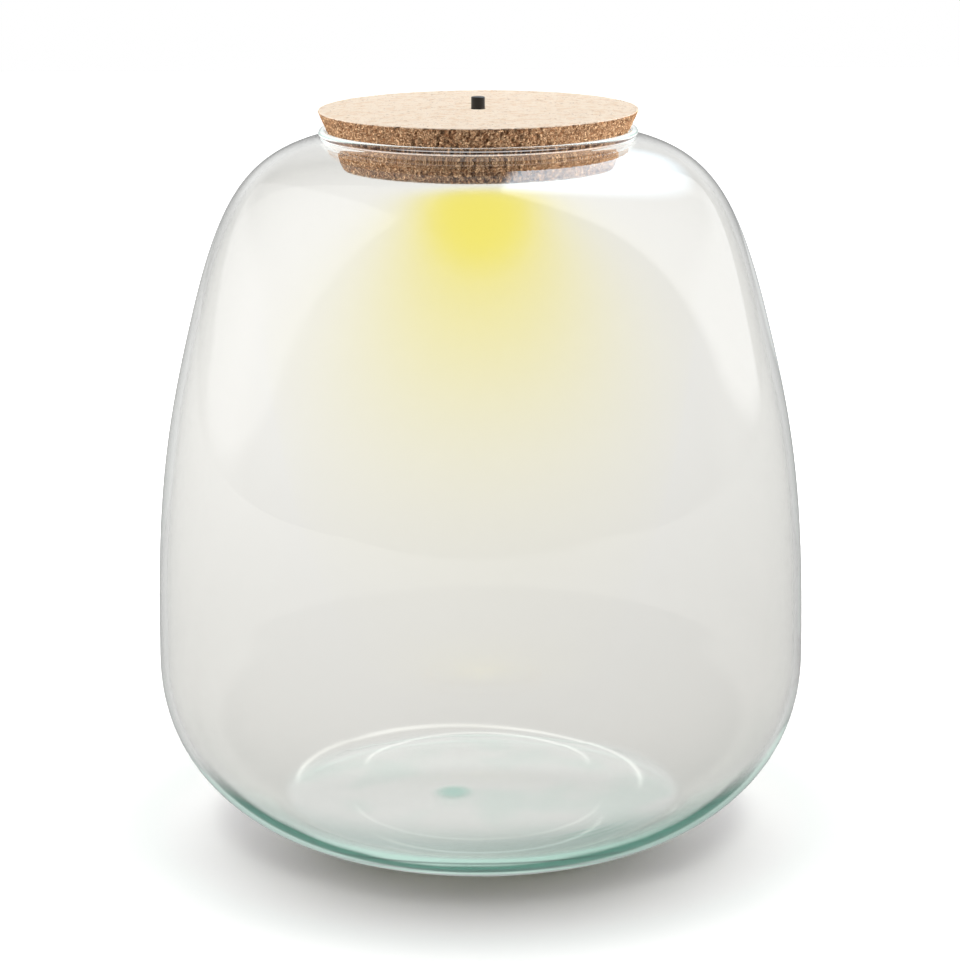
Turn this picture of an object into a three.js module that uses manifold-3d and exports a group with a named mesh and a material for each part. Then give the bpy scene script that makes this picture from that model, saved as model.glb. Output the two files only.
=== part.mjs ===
// A lighted terrarium bottle: a blown glass bottle, closed by a tapered cork stopper.
// The stopper carries a battery lamp underneath, and its push button stands on top.
// Millimetres, +Z up, origin at the centre of the bottle's foot.

import * as THREE from "three";
import { mergeVertices } from "three/addons/utils/BufferGeometryUtils.js";
import Module from "manifold-3d";

const wasm = await Module();
wasm.setup();

// Clearances
const stackGap = 0.1; // between flat faces that bear on each other
const fitGap = 0.3; // round a piece that is held in a hole
const slideGap = 0.4; // round a piece that moves in a bore
const overcut = 1; // how far a cutter runs past the face that it cuts

// Facets
const bottleSides = 48;
const turnedSides = 48;
const middleSides = 32;
const smallSides = 20;
const tinySides = 10;
const leadSides = 8;
const leadSteps = 14;
const outerSteps = [7, 6, 8]; // along the bends of the outer wall
const innerSteps = [6, 5, 7];
const lipSteps = 8;
const bendSteps = 5;

// Glass bottle
const glassHeight = 301.2;
const bellyRadius = 140;
const bellyHeight = 73;
const bellyReachDown = 56.4;
const bellyReachUp = 76.2;
const waistRadius = 122.8;
const waistHeight = 221.4;
const waistLean = THREE.MathUtils.degToRad(14.15);
const waistReachDown = 42;
const waistReachUp = 50.5;
const shoulderRise = THREE.MathUtils.degToRad(13.6);
const shoulderReach = 29.8;
const shoulderDrop = 4.7; // from the lip's top to the shoulder's end
const shoulderSpread = 2.6; // from the lip out to the shoulder's end
const neckLead = 2.1; // how far the shoulder runs on before it turns up to the lip
const neckInset = 1.4; // the crease under the lip
const lipHalfWidth = 1.75;
const lipHalfHeight = 1.65;
const footRadius = 89;
const footReach = 0.6;
const footWidth = 6;
const puntHeight = 4.6;
const puntReach = 35; // the punt's flat middle
const puntLead = 17; // how far in from the foot the punt starts to rise
const floorThickness = 4.8;
const floorReach = 45; // the floor's flat middle
const floorLead = 22; // how far in from the wall the floor starts to rise
const wallThickness = 3.2;
const heelThickness = 5.4;
const heelFade = 14; // height over which the heel thins to the wall

// Cells, three in series round the lamp
const cellCount = 3;
const cellRadius = 5.25;
const cellLength = 44.5;
const nubRadius = 1.9;
const nubLength = 1;
const cellPlay = 0.55; // above and below a cell
const cellClearance = 0.7; // between the cells and the rim round the lens
const endWall = 1.2;
const endWallNotch = 1.6; // left open beside an end wall, for the contact strip
const plateThickness = 0.4;
const plateHeight = 8;
const plateInset = 0.8; // from a cell's outer side in to its plate's edge
const tabReach = 1;
const springLength = 4;
const springTurns = 3;
const springWire = 0.3;
const springWide = 3.5;
const springNarrow = 2.2;

// Lamp, from the bottom up
const flushDepth = 0.1; // the lamp's face lies this far inside the cork's
const coverThickness = 1.8;
const sealThickness = 0.5;
const lensFlangeThickness = 1;
const lensWall = 1.4;
const lensRadius = 12.3;
const lensDrop = 4.9;
const lensFlangeWidth = 2;
const lensRimWidth = 1;
const lensRimHeight = 1.5;
const reflectorHeight = 1.3;
const reflectorLip = 0.4;
const reflectorThroat = 8.6;
const boardThickness = 1.2;
const boardRadius = 13.8;
const ledWidth = 3.5;
const ledHeight = 0.7;
const ledCircle = 5;
const resistorSize = new THREE.Vector3(2, 1.25, 0.6);
const switchWidth = 7;
const switchHeight = 5.9;
const switchWell = 4.6;
const pillarRadius = 1.8;
const pillarCircle = 11;
const pinRadius = 0.8;
const leadRadius = 0.55;
const leadOverlap = 0.3; // how far a lead's end lies in from the board's edge
const leadLift = 0.6; // how high a lead passes over the board's level half way

// Housing and cover
const housingWall = 1.6;
const roofThickness = 1.5;
const saddleThickness = 1.2;
const saddlePlace = 12;
const saddleGrip = 1; // how far a saddle reaches below the cell's middle
const coverRing = 1.6;
const coverRingHeight = 4.1;
const grooveDepth = 0.7;
const grooveHeight = 1.6;
const grooveRise = 1.1;
const notchRadius = 7;
const notchDepth = 2;
const notchHeight = 1.1;
const flangeWidth = 8;
const flangeThickness = 2;
const gasketThickness = 0.8;

// Screws that hold the lamp in the cork
const screwLength = 9;
const pilotSpare = 0.9; // the hole's depth past the screw's tip
const screwRadius = 1.5;
const screwCore = 1.1;
const screwThreads = 3;
const screwHead = 2.9;
const screwHeadHeight = 1.7;
const screwHeadRim = 0.3; // the straight rim of the head
const screwSlot = 0.7;
const screwSlotLength = 3.8;
const screwSlotDepth = 1;
const threadShares = [0.3, 0.6, 0.9]; // root, crest and root, in one pitch

// Cork stopper
const corkWeb = 8.7; // cork above the lamp
const corkRim = 7; // cork round the lamp's flange
const corkTaper = THREE.MathUtils.degToRad(25);
const corkChamfer = 0.6;
const insertDepth = 14.35; // from the cork's underside up to the lip's middle
const buttonSkin = 1.5; // cork above the bush

// Button
const buttonRadius = 2.9;
const buttonHeight = 5;
const buttonTravel = 2;
const buttonRound = 0.4;
const buttonFlange = 0.9;
const buttonFlangeHeight = 1.2;
const rodRadius = 1.5;
const rodGrip = 5.4;
const socketWall = 0.6;
const socketDepth = 2.1;
const socketRoof = 1;
const plungerSink = 2; // how deep the plunger stands in the switch at rest
const bushWall = 0.7;
const bushChamber = 4.1;
const bushLip = 0.8;
const bushFlangeRadius = 7;
const bushFlangeThickness = 1;
const bushSeat = 2; // length of the bush's narrow lower bore
const coilTurns = 5;
const coilWire = 0.25;

// Finishes
const finish = (color, roughness, metalness = 0, more = {}) =>
  new THREE.MeshStandardMaterial({ color, roughness, metalness, ...more });
const clearGlass = finish(0xdfeae6, 0.05, 0, { transparent: true, opacity: 0.3 });
const cork = finish(0xd8ad80, 0.9);
const blackPlastic = finish(0x161514, 0.45);
const whitePlastic = finish(0xeeece6, 0.5);
const frostedPlastic = finish(0xfff3c4, 0.4, 0, { emissive: 0xffe97a });
const darkRubber = finish(0x2a2a2a, 0.8);
const clearRubber = finish(0xd9d9d2, 0.6);
const steel = finish(0xc9cbcc, 0.3, 1);
const mirrorFoil = finish(0xe4e6e8, 0.15, 1);
const boardFinish = finish(0xf2f2ec, 0.5);
const ledFinish = finish(0xffe36b, 0.4, 0, { emissive: 0xffd84a });
const resistorFinish = finish(0x202020, 0.5);
const sleeve = finish(0x2d3036, 0.35);
const redLead = finish(0xb02018, 0.5);
const blackLead = finish(0x181818, 0.5);

// Solids

function solidOf(geometry) {
  const bare = new THREE.BufferGeometry();
  const source = geometry.index ? geometry.toNonIndexed() : geometry;
  bare.setAttribute("position", source.getAttribute("position"));
  const merged = mergeVertices(bare, 1e-4);
  return new wasm.Manifold(
    new wasm.Mesh({
      numProp: 3,
      vertProperties: merged.attributes.position.array,
      triVerts: new Uint32Array(merged.index.array),
    }),
  );
}

function geometryOf(solid) {
  const mesh = solid.getMesh();
  const geometry = new THREE.BufferGeometry();
  geometry.setAttribute("position", new THREE.BufferAttribute(mesh.vertProperties, 3));
  geometry.setIndex(new THREE.BufferAttribute(mesh.triVerts, 1));
  geometry.computeVertexNormals();
  return geometry;
}

// A solid of revolution about Z, from [radius, height] pairs that run anticlockwise.
// The outline starts and ends on the axis, or closes on itself.
function turned(outline, sides = turnedSides) {
  const points = outline.map(([radius, height]) => new THREE.Vector2(radius, height));
  const onAxis = points[0].x === 0 && points.at(-1).x === 0;
  if (!onAxis) points.push(points[0].clone());
  return new THREE.LatheGeometry(points, sides).rotateX(Math.PI / 2);
}

function rod(radius, bottom, top, sides = smallSides) {
  return new THREE.CylinderGeometry(radius, radius, top - bottom, sides)
    .rotateX(Math.PI / 2)
    .translate(0, 0, (bottom + top) / 2);
}

function block(width, depth, bottom, top) {
  return new THREE.BoxGeometry(width, depth, top - bottom).translate(0, 0, (bottom + top) / 2);
}

function ring(inner, outer, bottom, top, sides = turnedSides) {
  return turned([[inner, bottom], [outer, bottom], [outer, top], [inner, top]], sides);
}

function tube(curve, radius, sides, steps) {
  const section = new THREE.Shape();
  for (let side = 0; side < sides; side++) {
    const angle = (2 * Math.PI * side) / sides;
    const x = radius * Math.cos(angle);
    const y = radius * Math.sin(angle);
    if (side === 0) section.moveTo(x, y);
    else section.lineTo(x, y);
  }
  section.closePath();
  return new THREE.ExtrudeGeometry(section, { steps, extrudePath: curve, curveSegments: 1 });
}

// A coil about Z, whose radius runs evenly from its start to its end.
class Coil extends THREE.Curve {
  constructor(startRadius, endRadius, bottom, top, turns) {
    super();
    Object.assign(this, { startRadius, endRadius, bottom, top, turns });
  }

  getPoint(share, target = new THREE.Vector3()) {
    const angle = 2 * Math.PI * this.turns * share;
    const radius = THREE.MathUtils.lerp(this.startRadius, this.endRadius, share);
    const height = THREE.MathUtils.lerp(this.bottom, this.top, share);
    return target.set(radius * Math.cos(angle), radius * Math.sin(angle), height);
  }
}

function coil(startRadius, endRadius, length, turns, wire) {
  const stepsPerTurn = 8;
  const wireSides = 5;
  const path = new Coil(startRadius, endRadius, wire, length - wire, turns);
  return tube(path, wire, wireSides, stepsPerTurn * turns);
}

function turnedAbout(geometry, angle) {
  return geometry.clone().rotateZ(angle);
}

function joined(first, others) {
  return others.reduce((sum, geometry) => sum.add(solidOf(geometry)), first);
}

function cutBy(first, others) {
  return others.reduce((rest, geometry) => rest.subtract(solidOf(geometry)), first);
}

function piece(name, geometry, material) {
  const mesh = new THREE.Mesh(geometry, material);
  mesh.name = name;
  return mesh;
}

const bayAngle = (index) => (2 * Math.PI * index) / cellCount;
const bayAngles = Array.from({ length: cellCount }, (_, index) => bayAngle(index));
const betweenBays = bayAngles.map((angle) => angle + Math.PI / cellCount);

// Heights in the stopper, from the cork's underside
const coverTop = flushDepth + coverThickness;
const sealBottom = coverTop + stackGap;
const lensFlangeBottom = sealBottom + sealThickness + stackGap;
const lensFlangeTop = lensFlangeBottom + lensFlangeThickness;
const reflectorBottom = lensFlangeTop + stackGap;
const reflectorTop = reflectorBottom + reflectorHeight;
const boardBottom = reflectorTop + stackGap;
const boardTop = boardBottom + boardThickness;
const switchBottom = boardTop + stackGap;
const switchTop = switchBottom + switchHeight;
const roofBottom = Math.max(
  coverTop + 2 * (cellPlay + cellRadius),
  switchTop + bushFlangeThickness + 2 * stackGap,
);
const roofTop = roofBottom + roofThickness;
const flangeTop = flushDepth + flangeThickness;
const gasketBottom = flangeTop + stackGap;
const gasketTop = gasketBottom + gasketThickness;
const counterboreDepth = gasketTop + stackGap;
const pocketDepth = roofTop + fitGap;
const corkThickness = pocketDepth + corkWeb;
const cellAxis = (coverTop + roofBottom) / 2;
const plateBottom = cellAxis - plateHeight / 2;
const plateTop = cellAxis + plateHeight / 2;

// Lengths along a cell's bay, from its middle
const bayLength = cellLength + springLength + 2 * plateThickness + 5 * stackGap;
const plateMiddle = bayLength / 2 - stackGap - plateThickness / 2;
const cellEnd = plateMiddle - plateThickness / 2 - stackGap; // the nub's tip
const cellStart = cellEnd - cellLength;
const springStart = cellStart - stackGap - springLength;
const bayEnd = bayLength / 2 + endWall;

// Radii in the stopper
const lensFlangeRadius = lensRadius + lensFlangeWidth;
const lensSeat = lensFlangeRadius + fitGap;
const lensRim = lensSeat + lensRimWidth;
const saddleHalf = cellRadius + fitGap + saddleThickness;
const cellOffset = Math.max(bayEnd * Math.tan(Math.PI / 6), lensRim) + cellClearance + cellRadius;
const bayCorner = Math.hypot(bayEnd, cellOffset + cellRadius);
const coverRingInner = bayCorner + slideGap;
const coverRadius = coverRingInner + coverRing;
const housingInner = coverRadius + slideGap;
const housingOuter = housingInner + housingWall;
const flangeRadius = housingOuter + flangeWidth;
const screwCircle = housingOuter + flangeWidth / 2;
const pocketRadius = housingOuter + fitGap;
const counterboreRadius = flangeRadius + fitGap;
const corkBottomRadius = counterboreRadius + corkRim;
const corkTopRadius = corkBottomRadius + corkThickness * Math.tan(corkTaper);

// Button heights, from the cork's underside, and radii
const bushTop = corkThickness - buttonSkin - fitGap;
const lipBottom = bushTop - bushLip;
const buttonFlangeTop = lipBottom - stackGap;
const buttonBottom = buttonFlangeTop - buttonFlangeHeight;
const buttonTop = corkThickness + buttonHeight;
const boreTop = buttonBottom + rodGrip;
const socketBottom = switchTop + buttonTravel + fitGap;
const plungerTop = socketBottom + socketDepth - stackGap;
const bushBottom = roofBottom - stackGap - bushFlangeThickness;
const bushShoulder = bushBottom + bushSeat;
const socketRadius = rodRadius + fitGap + socketWall;
const bushRadius = bushChamber + bushWall;
const bushBore = bushRadius + fitGap;

// The mouth, which the cork seats in
const lipMiddle = glassHeight - lipHalfHeight;
const lipToCork = Math.hypot(
  lipHalfWidth * Math.cos(corkTaper),
  lipHalfHeight * Math.sin(corkTaper),
);
const lipRadius =
  corkBottomRadius +
  insertDepth * Math.tan(corkTaper) +
  (lipToCork + fitGap) / Math.cos(corkTaper);
const stopperHeight = lipMiddle - insertDepth;

// Bottle

const bend = (start, startHandle, endHandle, end) =>
  new THREE.CubicBezierCurve(
    ...[start, startHandle, endHandle, end].map((point) => new THREE.Vector2(...point)),
  );

// The outer wall in three bends: heel to belly, belly to waist, waist to shoulder.
function outerWall() {
  const lean = [-Math.sin(waistLean), Math.cos(waistLean)];
  const rise = [-Math.cos(shoulderRise), Math.sin(shoulderRise)];
  const along = ([x, y], [dx, dy], reach) => [x + dx * reach, y + dy * reach];
  const foot = [footRadius, 0];
  const belly = [bellyRadius, bellyHeight];
  const waist = [waistRadius, waistHeight];
  const shoulder = [lipRadius + lipHalfWidth + shoulderSpread, glassHeight - shoulderDrop];
  return [
    bend(foot, [footRadius + footReach, 0], [bellyRadius, bellyHeight - bellyReachDown], belly),
    bend(belly, [bellyRadius, bellyHeight + bellyReachUp], along(waist, lean, -waistReachDown), waist),
    bend(waist, along(waist, lean, waistReachUp), along(shoulder, rise, -shoulderReach), shoulder),
  ];
}

function wallPoints(bends, counts) {
  return bends.flatMap((curve, index) => {
    const count = counts[index];
    const shares = Array.from({ length: count }, (_, step) => step / count);
    if (index === bends.length - 1) shares.push(1);
    return shares.map((share) => ({ at: curve.getPoint(share), along: curve.getTangent(share) }));
  });
}

const onLip = (angle) => [
  lipRadius + lipHalfWidth * Math.cos(angle),
  lipMiddle + lipHalfHeight * Math.sin(angle),
];

// The lip's rolled bead, from the neck round to the mouth.
function lipPoints() {
  const start = -Math.PI / 3;
  return Array.from({ length: lipSteps + 1 }, (_, step) =>
    onLip(THREE.MathUtils.lerp(start, Math.PI, step / lipSteps)),
  );
}

const pairs = (curve) => curve.getPoints(bendSteps).map(({ x, y }) => [x, y]);

function bottleGeometry() {
  const outer = wallPoints(outerWall(), outerSteps).map(({ at }) => [at.x, at.y]);
  const inner = wallPoints(outerWall(), innerSteps)
    .map(({ at, along }) => {
      const thickness = wallThickness + (heelThickness - wallThickness) * Math.exp(-at.y / heelFade);
      return [at.x - along.y * thickness, at.y + along.x * thickness];
    })
    .reverse();
  const lip = lipPoints();
  const slope = Math.tan(shoulderRise);
  const [shoulderRadius, shoulderHeight] = outer.at(-1);
  const neck = bend(
    outer.at(-1),
    [shoulderRadius - neckLead, shoulderHeight + neckLead * slope],
    [lipRadius + lipHalfWidth - neckInset, lip[0][1] - lipHalfHeight / 4],
    lip[0],
  );
  const mouth = lip.at(-1);
  const throatLead = (inner[0][0] - mouth[0]) / 2;
  const throat = bend(
    mouth,
    [mouth[0], shoulderHeight],
    [inner[0][0] - throatLead, inner[0][1] + throatLead * slope],
    inner[0],
  );
  const floorTop = puntHeight + floorThickness;
  const corner = inner.at(-1);
  const floor = bend(corner, [corner[0] - floorLead, corner[1]], [floorReach, floorTop], [0, floorTop]);
  const footInner = footRadius - footWidth;
  const punt = bend([0, puntHeight], [puntReach, puntHeight], [footInner - puntLead, 0], [footInner, 0]);
  return turned(
    [
      ...pairs(punt),
      ...outer,
      ...pairs(neck).slice(1, -1),
      ...lip,
      ...pairs(throat).slice(1, -1),
      ...inner,
      ...pairs(floor).slice(1),
    ],
    bottleSides,
  );
}

// Stopper

const screwPlaces = betweenBays.map((angle) => [
  screwCircle * Math.cos(angle),
  screwCircle * Math.sin(angle),
]);

function screwHoles(radius, bottom, top) {
  return screwPlaces.map(([x, y]) => rod(radius, bottom, top, tinySides).translate(x, y, 0));
}

function corkGeometry() {
  const buttonHole = buttonRadius + slideGap;
  const slope = Math.tan(corkTaper);
  const body = turned([
    [counterboreRadius, 0],
    [corkBottomRadius - corkChamfer, 0],
    [corkBottomRadius + corkChamfer * slope, corkChamfer],
    [corkTopRadius - corkChamfer * slope, corkThickness - corkChamfer],
    [corkTopRadius - corkChamfer, corkThickness],
    [buttonHole, corkThickness],
    [buttonHole, bushTop + fitGap],
    [bushBore, bushTop + fitGap],
    [bushBore, pocketDepth],
    [pocketRadius, pocketDepth],
    [pocketRadius, counterboreDepth],
    [counterboreRadius, counterboreDepth],
  ]);
  const pilots = screwHoles(
    screwRadius + fitGap,
    counterboreDepth - overcut,
    flushDepth + screwLength + pilotSpare,
  );
  return geometryOf(cutBy(solidOf(body), pilots));
}

function gasketGeometry() {
  const washer = ring(housingOuter + fitGap, flangeRadius, gasketBottom, gasketTop);
  const holes = screwHoles(screwRadius + fitGap, gasketBottom - overcut, gasketTop + overcut);
  return geometryOf(cutBy(solidOf(washer), holes));
}

function screwGeometry() {
  const pitch = (screwLength - screwHeadHeight - screwCore) / screwThreads;
  const threads = Array.from({ length: screwThreads }, (_, turn) => {
    const [rise, crest, fall] = threadShares.map((share) => screwHeadHeight + (turn + share) * pitch);
    return [[screwCore, rise], [screwRadius, crest], [screwCore, fall]];
  }).flat();
  const shank = turned(
    [
      [0, 0],
      [screwHead, 0],
      [screwHead, screwHeadRim],
      [screwRadius, screwHeadHeight],
      ...threads,
      [0, screwLength],
    ],
    tinySides,
  );
  const slots = [0, Math.PI / 2].map((angle) =>
    turnedAbout(block(screwSlotLength, screwSlot, -overcut, screwSlotDepth), angle),
  );
  return geometryOf(cutBy(solidOf(shank), slots));
}

// Lamp housing: a cup with a flange, which holds the cells and the light board.
function housingGeometry() {
  const roofHole = bushRadius + fitGap;
  const cup = turned([
    [housingInner, flushDepth],
    [flangeRadius, flushDepth],
    [flangeRadius, flangeTop],
    [housingOuter, flangeTop],
    [housingOuter, roofTop],
    [roofHole, roofTop],
    [roofHole, roofBottom],
    [housingInner, roofBottom],
  ]);
  const intoRoof = roofBottom + roofThickness / 2;
  const wallWidth = 2 * cellRadius - endWallNotch;
  const walls = bayAngles.flatMap((angle) =>
    [-1, 1].map((side) =>
      turnedAbout(
        block(endWall, wallWidth, coverTop + fitGap, intoRoof).translate(
          side * (bayEnd - endWall / 2),
          -cellOffset - endWallNotch / 2,
          0,
        ),
        angle,
      ),
    ),
  );
  const saddles = bayAngles.flatMap((angle) =>
    [-saddlePlace, saddlePlace].map((place) =>
      turnedAbout(
        block(saddleThickness, 2 * saddleHalf, cellAxis - saddleGrip, intoRoof).translate(
          place,
          -cellOffset,
          0,
        ),
        angle,
      ),
    ),
  );
  const bayRadius = cellRadius + fitGap;
  const bayReach = 2 * (saddlePlace + saddleThickness);
  const bays = bayAngles.map((angle) =>
    turnedAbout(
      new THREE.CylinderGeometry(bayRadius, bayRadius, bayReach, smallSides)
        .rotateZ(Math.PI / 2)
        .translate(0, -cellOffset, cellAxis),
      angle,
    ),
  );
  const pillars = bayAngles.flatMap((angle) => {
    const x = pillarCircle * Math.sin(angle);
    const y = -pillarCircle * Math.cos(angle);
    return [
      rod(pillarRadius, boardTop + stackGap, intoRoof, tinySides).translate(x, y, 0),
      rod(pinRadius, boardBottom + stackGap, intoRoof, tinySides).translate(x, y, 0),
    ];
  });
  const countersinks = screwPlaces.map(([x, y]) =>
    turned(
      [
        [0, flushDepth - overcut],
        [screwHead + fitGap, flushDepth - overcut],
        [screwHead + fitGap, flushDepth + screwHeadRim],
        [screwRadius + fitGap, flushDepth + screwHeadHeight],
        [screwRadius + fitGap, flangeTop + overcut],
        [0, flangeTop + overcut],
      ],
      tinySides,
    ).translate(x, y, 0),
  );
  const fitted = cutBy(joined(solidOf(saddles[0]), saddles.slice(1)), bays);
  const built = joined(solidOf(cup), [...walls, ...pillars]).add(fitted);
  return geometryOf(cutBy(built, countersinks));
}

function bushGeometry() {
  const rodBore = socketRadius + fitGap;
  const lipBore = buttonRadius + fitGap;
  return turned(
    [
      [rodBore, bushBottom],
      [bushFlangeRadius, bushBottom],
      [bushFlangeRadius, bushBottom + bushFlangeThickness],
      [bushRadius, bushBottom + bushFlangeThickness],
      [bushRadius, bushTop],
      [lipBore, bushTop],
      [lipBore, lipBottom],
      [bushChamber, lipBottom],
      [bushChamber, bushShoulder],
      [rodBore, bushShoulder],
    ],
    smallSides,
  );
}

function boardGeometry() {
  const holes = bayAngles.map((angle) =>
    rod(pinRadius + fitGap, boardBottom - overcut, boardTop + overcut, tinySides).translate(
      pillarCircle * Math.sin(angle),
      -pillarCircle * Math.cos(angle),
      0,
    ),
  );
  return geometryOf(cutBy(solidOf(rod(boardRadius, boardBottom, boardTop, middleSides)), holes));
}

function switchGeometry() {
  const well = rod(rodRadius + fitGap, switchTop - switchWell, switchTop + overcut, tinySides);
  return geometryOf(cutBy(solidOf(block(switchWidth, switchWidth, switchBottom, switchTop)), [well]));
}

function reflectorGeometry() {
  return turned(
    [
      [lensFlangeRadius - reflectorLip, reflectorBottom],
      [lensFlangeRadius, reflectorBottom],
      [lensFlangeRadius, reflectorTop],
      [reflectorThroat, reflectorTop],
      [reflectorThroat, reflectorTop - reflectorLip],
    ],
    middleSides,
  );
}

// Cells and their contacts

function cellGeometry() {
  const edge = 0.5;
  const shoulder = cellLength - nubLength;
  return turned(
    [
      [0, 0],
      [cellRadius - edge, 0],
      [cellRadius, edge],
      [cellRadius, shoulder - edge],
      [cellRadius - edge, shoulder],
      [nubRadius, shoulder],
      [nubRadius, cellLength],
      [0, cellLength],
    ],
    smallSides,
  );
}

// A strip of contact metal that stands on edge along a path of [x, y] points.
function strip(path) {
  const half = plateThickness / 2;
  const points = path.map(([x, y]) => new THREE.Vector2(x, y));
  const side = (sign) =>
    points.map((point, index) => {
      const before = points[Math.max(index - 1, 0)];
      const after = points[Math.min(index + 1, points.length - 1)];
      const into = point === before ? after.clone().sub(point) : point.clone().sub(before);
      const out = point === after ? into.clone() : after.clone().sub(point);
      const miter = into.normalize().add(out.normalize()).normalize();
      const reach = half / Math.cos(Math.acos(THREE.MathUtils.clamp(miter.dot(out), -1, 1)));
      return point.clone().add(new THREE.Vector2(-miter.y, miter.x).multiplyScalar(sign * reach));
    });
  const shape = new THREE.Shape([...side(1), ...side(-1).reverse()]);
  const depth = plateTop - plateBottom;
  return new THREE.ExtrudeGeometry(shape, { depth, bevelEnabled: false }).translate(0, 0, plateBottom);
}

const plateOuter = -(cellOffset + cellRadius - plateInset);
const plateInner = -(cellOffset - cellRadius - stackGap);

function turnedPoint([x, y], angle) {
  const point = new THREE.Vector2(x, y).rotateAround(new THREE.Vector2(), angle);
  return [point.x, point.y];
}

// One strip joins a cell's nub to the next cell's spring, round the corner between them.
function bridgeGeometry(index) {
  const here = bayAngle(index);
  const next = bayAngle(index + 1);
  return strip([
    turnedPoint([plateMiddle, plateOuter], here),
    turnedPoint([plateMiddle, plateInner], here),
    turnedPoint([-plateMiddle, plateInner], next),
    turnedPoint([-plateMiddle, plateOuter], next),
  ]);
}

// The first and last plates end in a tab that a lead is soldered to.
function endPlateGeometry(side, angle) {
  return strip(
    [
      [side * plateMiddle, plateOuter],
      [side * plateMiddle, plateInner + tabReach],
    ].map((point) => turnedPoint(point, angle)),
  );
}

// A lead runs from its tab, past the cells, and ends on the board, inside its edge.
function leadGeometry(side, angle) {
  const clear = leadRadius + stackGap;
  const level = boardTop + clear;
  const diagonal = (boardRadius - leadOverlap) * Math.SQRT1_2;
  const tab = new THREE.Vector2(
    plateMiddle - plateThickness / 2 - clear,
    plateInner + tabReach - leadRadius / 2,
  );
  const end = new THREE.Vector2(diagonal, -diagonal);
  const stops = [
    { share: 0, height: cellAxis },
    { share: 0.11, height: cellAxis },
    { share: 0.43, height: level + leadLift },
    { share: 0.79, height: level },
    { share: 1, height: level },
  ];
  const route = stops.map(({ share, height }) => {
    const { x, y } = tab.clone().lerp(end, share);
    return new THREE.Vector3(...turnedPoint([side * x, y], angle), height);
  });
  return tube(new THREE.CatmullRomCurve3(route), leadRadius, leadSides, leadSteps);
}

// Cover, lens and seals

function coverGeometry() {
  const opening = lensRadius + fitGap;
  const ringTop = coverTop + coverRingHeight;
  const grooveBottom = coverTop + grooveRise;
  const grooveTop = grooveBottom + grooveHeight;
  const plate = turned([
    [opening, flushDepth],
    [coverRadius, flushDepth],
    [coverRadius, grooveBottom],
    [coverRadius - grooveDepth, grooveBottom],
    [coverRadius - grooveDepth, grooveTop],
    [coverRadius, grooveTop],
    [coverRadius, ringTop],
    [coverRingInner, ringTop],
    [coverRingInner, coverTop],
    [lensRim, coverTop],
    [lensRim, coverTop + lensRimHeight],
    [lensSeat, coverTop + lensRimHeight],
    [lensSeat, coverTop],
    [opening, coverTop],
  ]);
  const notches = [-1, 1].map((side) =>
    rod(notchRadius, flushDepth - overcut, flushDepth + notchHeight).translate(
      0,
      side * (coverRadius - notchDepth + notchRadius),
      0,
    ),
  );
  return geometryOf(cutBy(solidOf(plate), notches));
}

function coverSealGeometry() {
  const inner = coverRadius - grooveDepth + stackGap;
  const outer = housingInner - stackGap;
  const round = (outer - inner) / 2;
  const middle = coverTop + grooveRise + grooveHeight / 2;
  const sectionSides = 8;
  const section = Array.from({ length: sectionSides }, (_, side) => {
    const angle = (2 * Math.PI * side) / sectionSides;
    return [(inner + outer) / 2 + round * Math.cos(angle), middle + round * Math.sin(angle)];
  });
  return turned(section);
}

function lensSealGeometry() {
  const inner = lensRadius + fitGap;
  return ring(inner, lensFlangeRadius, sealBottom, sealBottom + sealThickness, middleSides);
}

function lensGeometry() {
  const steps = 5;
  const inner = lensRadius - lensWall;
  const dome = (radius, drop, share) => [
    radius * Math.cos((share * Math.PI) / 2),
    flushDepth - drop * Math.sin((share * Math.PI) / 2),
  ];
  const shares = Array.from({ length: steps }, (_, step) => step / steps);
  return turned(
    [
      [0, flushDepth - lensDrop],
      ...shares.map((share) => dome(lensRadius, lensDrop, share)).reverse(),
      [lensRadius, lensFlangeBottom],
      [lensFlangeRadius, lensFlangeBottom],
      [lensFlangeRadius, lensFlangeTop],
      [inner, lensFlangeTop],
      ...shares.map((share) => dome(inner, lensDrop - lensWall, share)),
      [0, flushDepth - lensDrop + lensWall],
    ],
    middleSides,
  );
}

// Button, and what it pushes

function buttonGeometry() {
  const bore = rodRadius + fitGap;
  const rim = [0, 0.5, 1].map((share) => [
    buttonRadius - buttonRound * (1 - Math.cos((share * Math.PI) / 2)),
    buttonTop - buttonRound * (1 - Math.sin((share * Math.PI) / 2)),
  ]);
  return turned(
    [
      [0, boreTop],
      [bore, boreTop],
      [bore, buttonBottom],
      [buttonRadius + buttonFlange, buttonBottom],
      [buttonRadius + buttonFlange, buttonFlangeTop],
      [buttonRadius, buttonFlangeTop],
      ...rim,
      [0, buttonTop],
    ],
    smallSides,
  );
}

function pushRodGeometry() {
  const socketTop = socketBottom + socketDepth;
  return turned(
    [
      [0, socketTop],
      [rodRadius + fitGap, socketTop],
      [rodRadius + fitGap, socketBottom],
      [socketRadius, socketBottom],
      [socketRadius, socketTop + socketRoof],
      [rodRadius, socketTop + socketRoof],
      [rodRadius, boreTop - stackGap],
      [0, boreTop - stackGap],
    ],
    smallSides,
  );
}

// Assembly

const product = new THREE.Group();
const stopper = new THREE.Group();
stopper.position.z = stopperHeight;
product.add(stopper);
product.add(piece("glass_bottle", bottleGeometry(), clearGlass));

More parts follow.
